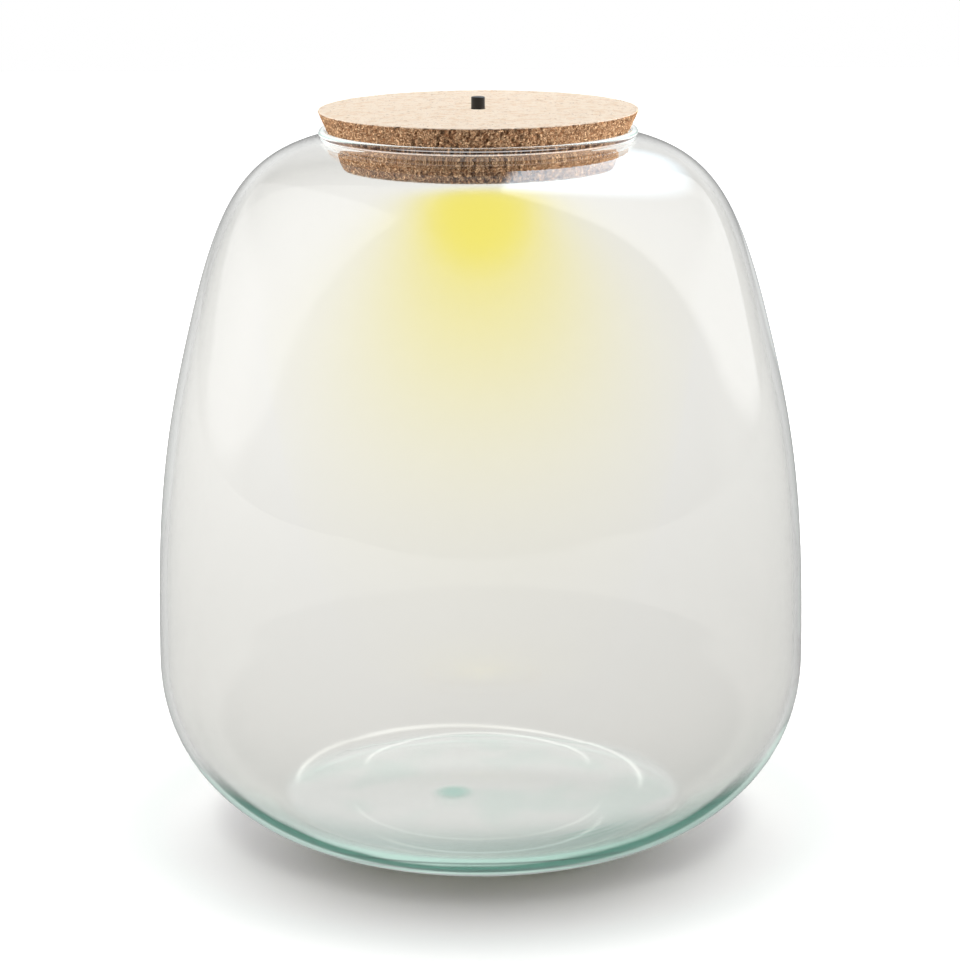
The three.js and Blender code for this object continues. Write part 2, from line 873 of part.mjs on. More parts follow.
stopper.add(
  piece("cork_stopper", corkGeometry(), cork),
  piece("housing_gasket", gasketGeometry(), darkRubber),
  piece("lamp_housing", housingGeometry(), whitePlastic),
  piece("guide_bush", bushGeometry(), blackPlastic),
  piece("led_board", boardGeometry(), boardFinish),
  piece("switch_body", switchGeometry(), blackPlastic),
  piece("reflector_ring", reflectorGeometry(), mirrorFoil),
  piece("battery_cover", coverGeometry(), whitePlastic),
  piece("cover_seal", coverSealGeometry(), clearRubber),
  piece("lens_seal", lensSealGeometry(), clearRubber),
  piece("lens", lensGeometry(), frostedPlastic),
  piece("button_cap", buttonGeometry(), blackPlastic),
  piece("push_rod", pushRodGeometry(), whitePlastic),
  piece("switch_plunger", rod(rodRadius, switchTop - plungerSink, plungerTop), whitePlastic),
);

screwPlaces.forEach(([x, y], index) => {
  const screw = piece(`housing_screw_${index + 1}`, screwGeometry(), steel);
  screw.position.set(x, y, flushDepth);
  stopper.add(screw);
});

bayAngles.forEach((angle, index) => {
  const bay = new THREE.Group();
  bay.rotation.z = angle;
  stopper.add(bay);
  const cell = piece(`battery_${index + 1}`, cellGeometry(), sleeve);
  cell.rotation.y = Math.PI / 2;
  cell.position.set(cellStart, -cellOffset, cellAxis);
  const spring = piece(
    `cell_spring_${index + 1}`,
    coil(springWide, springNarrow, springLength, springTurns, springWire),
    steel,
  );
  spring.rotation.y = Math.PI / 2;
  spring.position.set(springStart, -cellOffset, cellAxis);
  bay.add(cell, spring);

  const led = piece(
    `led_chip_${index + 1}`,
    block(ledWidth, ledWidth, boardBottom - stackGap - ledHeight, boardBottom - stackGap),
    ledFinish,
  );
  led.position.set(0, -ledCircle, 0);
  const resistor = piece(
    `resistor_${index + 1}`,
    block(
      resistorSize.x,
      resistorSize.y,
      boardBottom - stackGap - resistorSize.z,
      boardBottom - stackGap,
    ),
    resistorFinish,
  );
  resistor.position.set(0, ledCircle, 0);
  bay.add(led, resistor);
});

const lastBay = bayAngle(cellCount - 1);
stopper.add(
  piece("bridge_contact_1", bridgeGeometry(0), steel),
  piece("bridge_contact_2", bridgeGeometry(1), steel),
  piece("positive_contact", endPlateGeometry(1, lastBay), steel),
  piece("negative_contact", endPlateGeometry(-1, 0), steel),
  piece("positive_lead", leadGeometry(1, lastBay), redLead),
  piece("negative_lead", leadGeometry(-1, 0), blackLead),
);

const coilBottom = bushShoulder + stackGap;
const returnSpring = piece(
  "return_spring",
  coil(
    bushChamber - fitGap - coilWire,
    bushChamber - fitGap - coilWire,
    buttonBottom - stackGap - coilBottom,
    coilTurns,
    coilWire,
  ),
  steel,
);
returnSpring.position.z = coilBottom;
stopper.add(returnSpring);

export default product;
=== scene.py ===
"""The looks of a lighted terrarium bottle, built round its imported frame.

A blown glass bottle is closed by a tapered cork stopper. The stopper holds a battery lamp
underneath, and the lamp's push button stands on top. All sizes are in metres.
"""

import logging
import math
from collections.abc import Iterable
from dataclasses import dataclass, field
from enum import Enum

import bmesh
import bpy
from mathutils import Matrix, Vector, noise


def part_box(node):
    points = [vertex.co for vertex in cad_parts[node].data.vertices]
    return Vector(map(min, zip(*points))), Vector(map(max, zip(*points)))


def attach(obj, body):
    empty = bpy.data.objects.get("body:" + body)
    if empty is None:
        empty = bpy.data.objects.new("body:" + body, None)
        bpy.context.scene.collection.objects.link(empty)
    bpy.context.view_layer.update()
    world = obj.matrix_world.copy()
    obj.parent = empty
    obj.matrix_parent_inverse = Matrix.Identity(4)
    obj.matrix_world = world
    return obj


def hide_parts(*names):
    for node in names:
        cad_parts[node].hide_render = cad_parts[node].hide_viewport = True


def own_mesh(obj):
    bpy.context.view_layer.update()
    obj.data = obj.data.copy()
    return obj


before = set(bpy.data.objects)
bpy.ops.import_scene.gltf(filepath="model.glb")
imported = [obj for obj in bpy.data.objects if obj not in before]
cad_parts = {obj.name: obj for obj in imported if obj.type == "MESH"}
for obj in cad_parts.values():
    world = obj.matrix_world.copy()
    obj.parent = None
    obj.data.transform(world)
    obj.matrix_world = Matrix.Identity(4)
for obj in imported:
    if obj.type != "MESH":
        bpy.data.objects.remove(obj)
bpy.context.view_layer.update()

log = logging.getLogger("terrarium_bottle")

MM = 0.001
THIRDS = tuple(2 * math.pi * index / 3 for index in range(3))
NUMBERS = (1, 2, 3)
# Without a seed, noise vectors take one from the clock, and each run tears the cork differently.
NOISE_SEED = 1
Point = tuple[float, float]
Colour = tuple[float, float, float]
Spans = tuple[Point, ...]
Socket = bpy.types.NodeSocket
Sockets = bpy.types.bpy_prop_collection
SHARP_TURN = math.radians(35.0)
BLACK: Colour = (0.0, 0.0, 0.0)
WHITE: Colour = (1.0, 1.0, 1.0)


def smooth_step(value: float, low: float, high: float) -> float:
    """Eases from 0 at low to 1 at high, which may lie below it.

    Args:
        value: The value to place between the two ends.
        low: Where the result is 0.
        high: Where the result is 1.

    Returns:
        A share from 0 to 1.
    """
    share = min(max((value - low) / (high - low), 0.0), 1.0)
    return share * share * (3 - 2 * share)


# Shader wiring


class Wiring:
    """Adds nodes to a shader tree and links them as they are added."""

    def __init__(self, tree: bpy.types.NodeTree) -> None:
        """Keeps the material's, world's or group's tree that the nodes go into."""
        self.tree = tree

    def add(self, kind: str, inputs: dict | None = None, **settings) -> bpy.types.Node:
        """Adds a node, sets it and fills its inputs.

        Args:
            kind: The node's type name.
            inputs: Values or output sockets, by input name or number.
            **settings: The node's own properties.

        Returns:
            The new node.
        """
        node = self.tree.nodes.new(kind)
        for name, value in settings.items():
            setattr(node, name, value)
        self.fill(node, inputs or {})
        return node

    def fill(self, node: bpy.types.Node, inputs: dict) -> None:
        """Links a node's inputs to outputs, or gives them plain values.

        Args:
            node: The node.
            inputs: Values or output sockets, by input name or number.
        """
        for key, value in inputs.items():
            socket = node.inputs[key]
            if isinstance(value, Socket):
                self.tree.links.new(value, socket)
            elif socket.type == "RGBA" and len(value) == 3:
                socket.default_value = (*value, 1.0)
            else:
                socket.default_value = value

    def math(
        self,
        operation: str,
        first: Socket | float,
        second: Socket | float = 0.0,
        third: Socket | float = 0.0,
        clamp: bool = False,
    ) -> Socket:
        """Works out one number from up to three.

        Args:
            operation: The Math node's operation.
            first: The first number or socket.
            second: The second number or socket.
            third: The third number or socket.
            clamp: Whether the result is kept between 0 and 1.

        Returns:
            The output socket.
        """
        inputs = {0: first, 1: second, 2: third}
        return self.add("ShaderNodeMath", inputs, operation=operation, use_clamp=clamp).outputs[0]

    def times(self, first: Socket, *rest: Socket | float) -> Socket:
        """Multiplies a socket by other factors, one after another.

        Args:
            first: The first factor.
            *rest: The other factors.

        Returns:
            The output socket.
        """
        for factor in rest:
            first = self.math("MULTIPLY", first, factor)
        return first

    def ease(self, value: Socket, low: float, high: float, start: float = 0.0, end: float = 1.0) -> Socket:
        """Maps a number smoothly from one range to another.

        Args:
            value: The socket to map.
            low: The value that gives start.
            high: The value that gives end.
            start: The result at low.
            end: The result at high.

        Returns:
            The output socket.
        """
        inputs = {0: value, 1: low, 2: high, 3: start, 4: end}
        return self.add("ShaderNodeMapRange", inputs, interpolation_type="SMOOTHSTEP").outputs[0]

    def where(self, values: Iterable[Socket], spans: Spans) -> Socket:
        """Multiplies the eased shares of several numbers.

        Args:
            values: The numbers' sockets.
            spans: For each, the value that gives 0 and the value that gives 1.

        Returns:
            The output socket.
        """
        return self.times(*(self.ease(value, *span) for value, span in zip(values, spans)))

    def between(self, share: Socket, first: Socket | float, second: Socket | float) -> Socket:
        """Gives a number between a first and a second one, at a share of the way."""
        return self.add("ShaderNodeMix", {0: share, 2: first, 3: second}).outputs[0]

    def blend(self, share: Socket, first: Socket | Colour, second: Socket | Colour) -> Socket:
        """Gives a colour between a first and a second one, at a share of the way."""
        inputs = {0: share, 6: first, 7: second}
        return self.add("ShaderNodeMix", inputs, data_type="RGBA").outputs[2]

    def vector(self, operation: str, *given: Socket | Colour) -> Socket:
        """Works out a vector, or its length or product as one number.

        Args:
            operation: The Vector Math node's operation.
            *given: The vectors or sockets.

        Returns:
            The output socket.
        """
        node = self.add("ShaderNodeVectorMath", dict(enumerate(given)), operation=operation)
        return node.outputs["Value" if operation in ("DOT_PRODUCT", "LENGTH") else "Vector"]

    def place(self) -> Socket:
        """Gives the object coordinates, in metres."""
        return self.add("ShaderNodeTexCoord").outputs["Object"]

    def parts(self, vector: Socket) -> Sockets:
        """Gives the X, Y and Z sockets of a vector."""
        return self.add("ShaderNodeSeparateXYZ", {0: vector}).outputs

    def attribute(self, name: str) -> Socket:
        """Gives the number that is stored on the mesh under a name."""
        return self.add("ShaderNodeAttribute", attribute_name=name).outputs["Fac"]

    def noise(
        self,
        place: Socket,
        scale: Socket | float,
        detail: float,
        roughness: float = 0.5,
        distortion: float = 0.0,
    ) -> Sockets:
        """Adds a noise texture.

        Args:
            place: The socket of the place.
            scale: How many features go into a metre.
            detail: How many finer layers are added.
            roughness: How strong each finer layer is beside the last.
            distortion: How far the texture is warped.

        Returns:
            The texture's output sockets.
        """
        inputs = {"Vector": place, "Scale": scale, "Detail": detail}
        inputs |= {"Roughness": roughness, "Distortion": distortion}
        return self.add("ShaderNodeTexNoise", inputs).outputs

    def bump(self, height: Socket, distance: float) -> Socket:
        """Gives the normal of a relief whose full height of 1 is a distance in metres."""
        inputs = {"Strength": 1.0, "Distance": distance, "Height": height}
        return self.add("ShaderNodeBump", inputs).outputs["Normal"]

    def use(self, group: bpy.types.NodeTree, **inputs: float) -> Sockets:
        """Places a shared group with its own values, and gives its output sockets."""
        return self.add("ShaderNodeGroup", inputs, node_tree=group).outputs

    def mix(self, share: Socket, first: Socket, second: Socket) -> Socket:
        """Mixes a first and a second shader."""
        return self.add("ShaderNodeMixShader", {0: share, 1: first, 2: second}).outputs[0]

    def join(self, first: Socket, second: Socket) -> Socket:
        """Adds a first and a second shader together."""
        return self.add("ShaderNodeAddShader", {0: first, 1: second}).outputs[0]

def emptied(owner: bpy.types.Material | bpy.types.World | bpy.types.Light) -> Wiring:
    """Gives a material, world or lamp an empty shader tree.

    Args:
        owner: What the tree belongs to.

    Returns:
        The tree's wiring.
    """
    owner.use_nodes = True
    owner.node_tree.nodes.clear()
    return Wiring(owner.node_tree)


def new_material(name: str) -> tuple[bpy.types.Material, Wiring, bpy.types.Node]:
    """Makes a material with an empty tree and a linked Principled shader.

    Args:
        name: The material's name.

    Returns:
        The material, its wiring and the shader node.
    """
    material = bpy.data.materials.new(name)
    wiring = emptied(material)
    shader = wiring.add("ShaderNodeBsdfPrincipled")
    wiring.add("ShaderNodeOutputMaterial", {"Surface": shader.outputs["BSDF"]})
    return material, wiring, shader


def new_group(name: str, inputs: dict[str, float], outputs: Iterable[str]) -> tuple[Wiring, Sockets]:
    """Makes an empty shader group that reads and gives plain numbers.

    Args:
        name: The group's name.
        inputs: Each input's name and usual value.
        outputs: The outputs' names.

    Returns:
        The group's wiring, and the sockets of what it is given.
    """
    tree = bpy.data.node_groups.new(name, "ShaderNodeTree")
    for label, value in inputs.items():
        socket = tree.interface.new_socket(label, in_out="INPUT", socket_type="NodeSocketFloat")
        socket.default_value = value
    for label in outputs:
        tree.interface.new_socket(label, in_out="OUTPUT", socket_type="NodeSocketFloat")
    wiring = Wiring(tree)
    return wiring, wiring.add("NodeGroupInput").outputs


def fine_grain_group() -> bpy.types.NodeTree:
    """Builds the moulded or worn grain that the plain finishes share.

    Returns:
        A group with a Shade, which varies about 0.5, and a Height for a bump.
    """
    wiring, given = new_group("fine_grain", {"Grain": 1500.0, "Mottle": 90.0}, ("Shade", "Height"))
    place = wiring.place()
    grain = wiring.noise(place, given["Grain"], 3.0, 0.6)["Fac"]
    mottle = wiring.noise(place, given["Mottle"], 4.0, 0.55)["Fac"]
    shade = wiring.math("MULTIPLY_ADD", grain, 0.35, 0.0)
    shade = wiring.math("MULTIPLY_ADD", mottle, 0.65, shade)
    wiring.add("NodeGroupOutput", {"Shade": shade, "Height": grain})
    return wiring.tree


def hand_marks_group() -> bpy.types.NodeTree:
    """Builds the faint smudges that handling leaves on a polished surface.

    Returns:
        A group with a Mark, from 0 on clean glass or metal to 1 on a smudge.
    """
    wiring, given = new_group("hand_marks", {"Size": 14.0, "Streak": 160.0}, ("Mark",))
    place = wiring.place()
    patch = wiring.noise(place, given["Size"], 3.0, distortion=0.6)["Fac"]
    streak = wiring.noise(place, given["Streak"], 5.0, 0.7)["Fac"]
    mark = wiring.math("MULTIPLY", wiring.ease(patch, 0.5, 0.72), streak, clamp=True)
    wiring.add("NodeGroupOutput", {"Mark": mark})
    return wiring.tree


# Finishes


class Sheen(Enum):
    """How polished a plain surface is, as its roughness and the depth of its grain."""

    GLOSS = (0.16, 0.01)
    SATIN = (0.38, 0.04)
    MATT = (0.62, 0.08)
    CHALKY = (0.82, 0.15)


@dataclass(frozen=True)
class ClearGlass:
    """Hand-blown clear glass: greyer toward the base, and green where it is seen edge on.

    It also carries painted light and shade: emitted highlights on the lip's bead and on arcs of its floor,
    an emitted glow for light caught in the wall, dark streaks in the lip, and painted shade where the lip
    meets the cork. The spans say where each effect fades in or out, by how edge on the glass is seen, by the
    heel attribute, or by the bead attribute, which counts quarter turns round the lip.
    """

    name: str = "clear_glass"
    low_tint: Colour = (0.845, 0.836, 0.815)
    high_tint: Colour = (0.966, 0.956, 0.936)
    tint_top: float = 0.19
    floor_tint: Colour = (0.96, 0.975, 0.965)
    front_tint: Colour = (0.80, 0.845, 0.825)
    front_span: Point = (-0.030, -0.085)
    pool_tint: Colour = (0.86, 0.94, 0.91)
    pool_span: Point = (0.45, 0.68)
    stroke_tint: Colour = (0.30, 0.62, 0.52)
    heel_left: Colour = (0.47, 0.56, 0.53)
    heel_right: Colour = (0.27, 0.375, 0.335)
    heel_sides: Point = (-0.055, 0.055)
    heel_spans: Spans = ((0.2, 1.0), (0.12, 0.45))
    edge_tint: Colour = (0.004, 0.045, 0.028)
    edge_waver: float = 0.10
    edge_spans: Spans = ((0.65, 0.71), (0.84, 0.79), (0.0, 0.8))
    scar_tint: Colour = (0.36, 0.70, 0.60)
    # Painted shade: dark upright streaks for the shaded gap seen through the lip's bead.
    streak_tint: Colour = (0.045, 0.030, 0.026)
    streak_count: float = 620.0
    streak_share: tuple[float, float, float, float] = (0.34, 0.56, 0.45, 1.0)
    streak_spans: Spans = ((-0.42, -0.25), (0.55, 0.30), (0.55, 0.30))
    # Painted shade: dark where the lip's inside meets the cork.
    crevice_shade_tint: Colour = (0.10, 0.05, 0.025)
    crevice_shade_spans: Spans = ((1.5, 1.7), (2.7, 2.4), (0.19, 0.21))
    # Painted light: a glow emitted where light is caught in the wall past the renderer's bounces.
    guided_low: Colour = (0.47, 0.58, 0.535)
    guided_high: Colour = (0.60, 0.60, 0.605)
    guided_span: Point = (0.05, 0.25)
    guided_bounces: float = 3.5
    mirror_facing: float = 0.26
    # Painted highlights, emitted: pale arcs on the floor and bright lines on the lip's bead.
    line_glint: Colour = (0.30, 0.31, 0.295)
    bead_glint: Colour = (0.50, 0.485, 0.475)
    below_spans: Spans = ((-0.95, -0.68), (-0.28, -0.42))
    front_spans: Spans = ((0.00, 0.07), (0.24, 0.16), (0.20, 0.08))
    end_spans: Spans = ((-0.6, -0.4), (1.3, 1.0))
    end_share: tuple[float, float, float, float] = (0.35, 0.70, 0.0, 0.12)
    index: float = 1.5
    smudge: float = 0.02
    swirl_count: float = 22.0
    ripple: float = 0.00002
    depth_colour: Colour = (0.35, 0.78, 0.66)
    depth_density: float = 3.5
    shadow_tint: Colour = (0.992, 0.989, 0.992)
    heel_shadow: Colour = (0.68, 0.665, 0.69)
    heel_shadow_top: float = 0.022

    def tinted(self, wiring: Wiring, place: Sockets, facing: Socket, swirl: Socket) -> Socket:
        """Works out the tint of the body, floor, heel, edge line and scar, the painted dark streaks in the
        lip, and the painted shade where the lip meets the cork.

        Args:
            wiring: The material's wiring.
            place: The X, Y and Z sockets.
            facing: The socket of how edge on the surface is seen.
            swirl: The socket of the slow unevenness of the glass.

        Returns:
            The colour's output socket.
        """
        level = wiring.math("DIVIDE", place["Z"], self.tint_top, clamp=True)
        body = wiring.blend(level, self.low_tint, self.high_tint)
        pool = wiring.blend(wiring.ease(swirl, *self.pool_span), self.floor_tint, self.pool_tint)
        pool = wiring.blend(wiring.ease(place["Y"], *self.front_span), pool, self.front_tint)
        heel = wiring.attribute("heel")
        deep = wiring.where((heel, facing), self.heel_spans)
        centred = wiring.math("SUBTRACT", facing, self.edge_waver / 2)
        shifted = wiring.math("MULTIPLY_ADD", swirl, self.edge_waver, centred)
        line = wiring.where((shifted, facing, heel), self.edge_spans)
        tint = wiring.blend(wiring.attribute("floor"), body, pool)
        tint = wiring.blend(wiring.attribute("stroke"), tint, self.stroke_tint)
        sideways = wiring.ease(place["X"], *self.heel_sides)
        tint = wiring.blend(deep, tint, wiring.blend(sideways, self.heel_left, self.heel_right))
        tint = wiring.blend(line, tint, self.edge_tint)
        tint = wiring.blend(self.streaked(wiring, facing), tint, self.streak_tint)
        bead = wiring.attribute("bead")
        # Painted shade on the lip's inside, where it meets the cork.
        pressed = wiring.where((bead, bead, facing), self.crevice_shade_spans)
        tint = wiring.blend(pressed, tint, self.crevice_shade_tint)
        return wiring.blend(wiring.attribute("scar"), tint, self.scar_tint)

    def streaked(self, wiring: Wiring, facing: Socket) -> Socket:
        """Works out the painted dark upright streaks that stand for what the lip's bead shows of the shaded
        gap behind it.

        Args:
            wiring: The material's wiring.
            facing: The socket of how edge on the surface is seen.

        Returns:
            The share's output socket.
        """
        bead = wiring.attribute("bead")
        upright = wiring.vector("MULTIPLY", wiring.place(), (1.0, 1.0, 0.08))
        streak = wiring.noise(upright, self.streak_count, 3.0)["Fac"]
        limits = [wiring.ease(value, *span) for value, span in zip((bead, bead, facing), self.streak_spans)]
        return wiring.times(wiring.ease(streak, *self.streak_share), *limits)

    def glinting(self, wiring: Wiring, facing: Socket) -> Socket:
        """Works out the lip's painted highlights: a bright line below, one on the front, and both pale ends.

        Args:
            wiring: The material's wiring.
            facing: The socket of how edge on the surface is seen.

        Returns:
            The share's output socket.
        """
        bead = wiring.attribute("bead")
        below = wiring.where((bead, bead), self.below_spans)
        front = wiring.where((bead, bead, facing), self.front_spans)
        ends = wiring.where((bead, bead), self.end_spans)
        ends = wiring.times(ends, wiring.ease(facing, *self.end_share))
        return wiring.math("MAXIMUM", wiring.math("MAXIMUM", below, front), ends)

    def painted_light(self, wiring: Wiring, height: Socket, facing: Socket) -> Socket:
        """Works out the painted light that the glass emits: a glow for light guided inside its wall past the
        renderer's bounces, and elsewhere the painted highlights of the floor arcs and the lip.

        Args:
            wiring: The material's wiring.
            height: The socket of the height.
            facing: The socket of how edge on the surface is seen.

        Returns:
            The colour's output socket.
        """
        bounces = wiring.add("ShaderNodeLightPath").outputs["Glossy Depth"]
        within = wiring.add("ShaderNodeNewGeometry").outputs["Backfacing"]
        bounced = wiring.math("GREATER_THAN", bounces, self.guided_bounces)
        mirrored = wiring.math("GREATER_THAN", facing, self.mirror_facing)
        caught = wiring.times(bounced, within, mirrored)
        colour = wiring.blend(wiring.ease(height, *self.guided_span), self.guided_low, self.guided_high)
        glint = wiring.blend(wiring.attribute("line"), BLACK, self.line_glint)
        glint = wiring.blend(self.glinting(wiring, facing), glint, self.bead_glint)
        return wiring.blend(caught, glint, colour)

    def build(self, marks: bpy.types.NodeTree) -> bpy.types.Material:
        """Makes the material.

        Args:
            marks: The shared group of hand marks.

        Returns:
            The finished material.
        """
        material, wiring, shader = new_material(self.name)
        place = wiring.parts(wiring.place())
        swirl = wiring.noise(wiring.place(), self.swirl_count, 2.0)["Fac"]
        facing = wiring.add("ShaderNodeLayerWeight", {"Blend": 0.5}).outputs["Facing"]
        wiring.fill(
            shader,
            {
                "Base Color": self.tinted(wiring, place, facing, swirl),
                "Emission Color": self.painted_light(wiring, place["Z"], facing),
                "Emission Strength": 1.0,
                "Roughness": wiring.times(wiring.use(marks)["Mark"], self.smudge),
                "Normal": wiring.bump(swirl, self.ripple),
                "Transmission Weight": 1.0,
                "IOR": self.index,
            },
        )
        depth = wiring.add(
            "ShaderNodeVolumeAbsorption", {"Color": self.depth_colour, "Density": self.depth_density}
        )
        in_shadow = wiring.add("ShaderNodeLightPath").outputs["Is Shadow Ray"]
        near = wiring.ease(place["Z"], self.heel_shadow_top, self.heel_shadow_top / 3)
        near = wiring.times(near, wiring.attribute("heel"))
        shadow = wiring.blend(near, self.shadow_tint, self.heel_shadow)
        passing = wiring.add("ShaderNodeBsdfTransparent", {"Color": shadow})
        surface = wiring.mix(in_shadow, shader.outputs["BSDF"], passing.outputs[0])
        sink = material.node_tree.nodes["Material Output"]
        wiring.fill(sink, {"Surface": surface, "Volume": depth.outputs["Volume"]})
        return material


@dataclass(frozen=True)
class PressedCork:
    """Agglomerate cork: glued granules, sanded pale on the faces and torn open on the side."""

    name: str = "pressed_cork"
    face: Colour = (0.955, 0.83, 0.69)
    face_dark: Colour = (0.82, 0.60, 0.41)
    speck: Colour = (0.26, 0.12, 0.07)
    granule_light: Colour = (0.98, 0.645, 0.38)
    granule_dark: Colour = (0.50, 0.25, 0.12)
    glue: Colour = (0.13, 0.048, 0.020)
    granule_size: float = 0.0013
    granule_warp: float = 0.0009
    chip_stretch: float = 1.9
    lost_share: tuple[float, float, float, float] = (0.91, 0.94, 0.0, 0.9)
    patch_span: Point = (0.44, 0.70)
    patch_share: float = 0.60
    edge_share: float = 0.40
    dark_spans: Spans = ((0.82, 0.86), (0.34, 0.20))
    speck_share: float = 0.85
    face_relief: float = 0.15
    relief: float = 0.0003
    shine: float = 0.2

    def stretched(self, wiring: Wiring, place: Socket) -> Socket:
        """Warps the place and stretches it, so that chips lie flat in some spots and stand in others.

        Args:
            wiring: The material's wiring.
            place: The socket of the place.

        Returns:
            The output socket.
        """
        drift = wiring.noise(place, 900.0, 2.0)["Color"]
        warped = wiring.vector("MULTIPLY_ADD", drift, (self.granule_warp,) * 3, place)
        lie = wiring.ease(wiring.noise(place, 420.0, 0.0)["Fac"], 0.48, 0.52)
        long = self.chip_stretch
        return wiring.vector("MULTIPLY", warped, wiring.blend(lie, (1.0, 1.0, long), (long, long, 1.0)))

    def build(self, grain: bpy.types.NodeTree) -> bpy.types.Material:
        """Makes the material, which reads the granules stored on the mesh.

        Args:
            grain: The shared group of fine grain.

        Returns:
            The finished material.
        """
        material, wiring, shader = new_material(self.name)
        place = wiring.place()
        inputs = {"Vector": self.stretched(wiring, place), "Scale": 1.0 / self.granule_size}
        granules = wiring.add("ShaderNodeTexVoronoi", inputs).outputs
        gaps = wiring.add("ShaderNodeTexVoronoi", inputs, feature="DISTANCE_TO_EDGE").outputs["Distance"]
        pick = wiring.add("ShaderNodeSeparateColor", {0: granules["Color"]}).outputs
        fine = wiring.noise(place, 2600.0, 3.0, 0.65)["Fac"]
        gap = wiring.math("MAXIMUM", wiring.ease(gaps, 0.15, 0.0), wiring.attribute("gap"))
        gap = wiring.math("MULTIPLY", gap, wiring.ease(fine, 0.25, 0.6), clamp=True)
        tone = wiring.math("MULTIPLY_ADD", fine, 0.5, -0.25)
        tone = wiring.math("ADD", tone, pick["Red"], clamp=True)
        side = wiring.blend(tone, self.granule_dark, self.granule_light)
        lost = wiring.ease(pick["Green"], *self.lost_share)
        side = wiring.blend(wiring.math("MAXIMUM", gap, lost), side, self.glue)

        patch = wiring.ease(wiring.noise(place, 260.0, 5.0)["Fac"], *self.patch_span)
        face = wiring.blend(wiring.times(patch, self.patch_share), self.face, self.face_dark)
        pale_edge = wiring.times(wiring.ease(gaps, 0.09, 0.0), self.edge_share)
        face = wiring.blend(pale_edge, face, self.face_dark)
        dark = wiring.where((pick["Green"], granules["Distance"]), self.dark_spans)
        speck = wiring.math("MAXIMUM", dark, wiring.attribute("pit"))
        face = wiring.blend(wiring.times(speck, self.speck_share), face, self.speck)

        on_side = wiring.attribute("side")
        shade = wiring.use(grain, Grain=2200.0, Mottle=300.0)
        relief = wiring.math("MULTIPLY_ADD", shade["Height"], 0.5, wiring.ease(gaps, 0.0, 0.16))
        depth = wiring.math("MULTIPLY_ADD", on_side, 1 - self.face_relief, self.face_relief)
        wiring.fill(
            shader,
            {
                "Base Color": wiring.blend(on_side, face, side),
                "Roughness": wiring.math("MULTIPLY_ADD", shade["Shade"], 0.2, 0.78),
                "Normal": wiring.bump(wiring.times(relief, depth), self.relief),
                "Specular IOR Level": self.shine,
            },
        )
        return material


@dataclass(frozen=True)
class Plain:
    """A moulded or coated surface in one colour, with grain and slight mottling."""

    name: str
    colour: Colour
    sheen: Sheen
    mottle: float = 0.06
    metal: float = 0.0

    def build(self, grain: bpy.types.NodeTree, marks: bpy.types.NodeTree) -> bpy.types.Material:
        """Makes the material.

        Args:
            grain: The shared group of fine grain.
            marks: The shared group of hand marks.

        Returns:
            The finished material.
        """
        material, wiring, shader = new_material(self.name)
        rough, depth = self.sheen.value
        shade = wiring.use(grain)
        mark = wiring.use(marks, Size=60.0, Streak=900.0)["Mark"]
        darker = tuple(channel * (1 - self.mottle) for channel in self.colour)
        lighter = tuple(min(channel * (1 + self.mottle), 1.0) for channel in self.colour)
        worn = wiring.math("MULTIPLY_ADD", shade["Shade"], 0.12, rough - 0.06)
        wiring.fill(
            shader,
            {
                "Base Color": wiring.blend(wiring.ease(shade["Shade"], 0.3, 0.7), darker, lighter),
                "Roughness": wiring.math("MULTIPLY_ADD", mark, 0.15, worn, clamp=True),
                "Normal": wiring.bump(shade["Height"], depth * MM),
                "Metallic": self.metal,
            },
        )
        return material


@dataclass(frozen=True)
class Glowing:
    """A surface that light comes out of: a lit lens or a light chip."""

    name: str
    colour: Colour
    light: Colour
    strength: float
    clearness: float = 0.0

    def build(self, grain: bpy.types.NodeTree) -> bpy.types.Material:
        """Makes the material.

        Args:
            grain: The shared group of fine grain.

        Returns:
            The finished material.
        """
        material, wiring, shader = new_material(self.name)
        shade = wiring.use(grain, Grain=2600.0, Mottle=200.0)
        paler = tuple(min(channel * 1.08, 1.0) for channel in self.colour)
        wiring.fill(
            shader,
            {
                "Base Color": wiring.blend(wiring.ease(shade["Shade"], 0.3, 0.7), self.colour, paler),
                "Roughness": wiring.math("MULTIPLY_ADD", shade["Shade"], 0.2, 0.4),
                "Normal": wiring.bump(shade["Height"], 0.03 * MM),
                "Emission Color": self.light,
                "Emission Strength": self.strength,
                "Transmission Weight": self.clearness,
            },
        )
        return material


@dataclass(frozen=True)
class CellSleeve:
    """The film of a cell: plain slate with a narrow pale ring, and bare metal at both ends."""

    name: str = "cell_sleeve"
    film: Colour = (0.115, 0.145, 0.155)
    ring: Colour = (0.52, 0.53, 0.53)
    metal: Colour = (0.72, 0.73, 0.74)
    ring_span: Point = (0.900, 0.925)
    film_span: Point = (0.014, 0.972)

    def build(self, marks: bpy.types.NodeTree) -> bpy.types.Material:
        """Makes the material, which reads how far along the cell a point lies.

        Args:
            marks: The shared group of hand marks.

        Returns:
            The finished material.
        """
        material, wiring, shader = new_material(self.name)
        along = wiring.attribute("along")
        ring_start, ring_end = self.ring_span
        film_start, film_end = self.film_span
        ring = wiring.math("GREATER_THAN", along, ring_start)
        ring = wiring.times(ring, wiring.math("LESS_THAN", along, ring_end))
        bottom = wiring.math("LESS_THAN", along, film_start)
        bare = wiring.math("MAXIMUM", bottom, wiring.math("GREATER_THAN", along, film_end))
        mark = wiring.use(marks, Size=90.0, Streak=1200.0)["Mark"]
        wiring.fill(
            shader,
            {
                "Base Color": wiring.blend(bare, wiring.blend(ring, self.film, self.ring), self.metal),
                "Metallic": bare,
                "Roughness": wiring.math("MULTIPLY_ADD", mark, 0.25, 0.24),
            },
        )
        return material


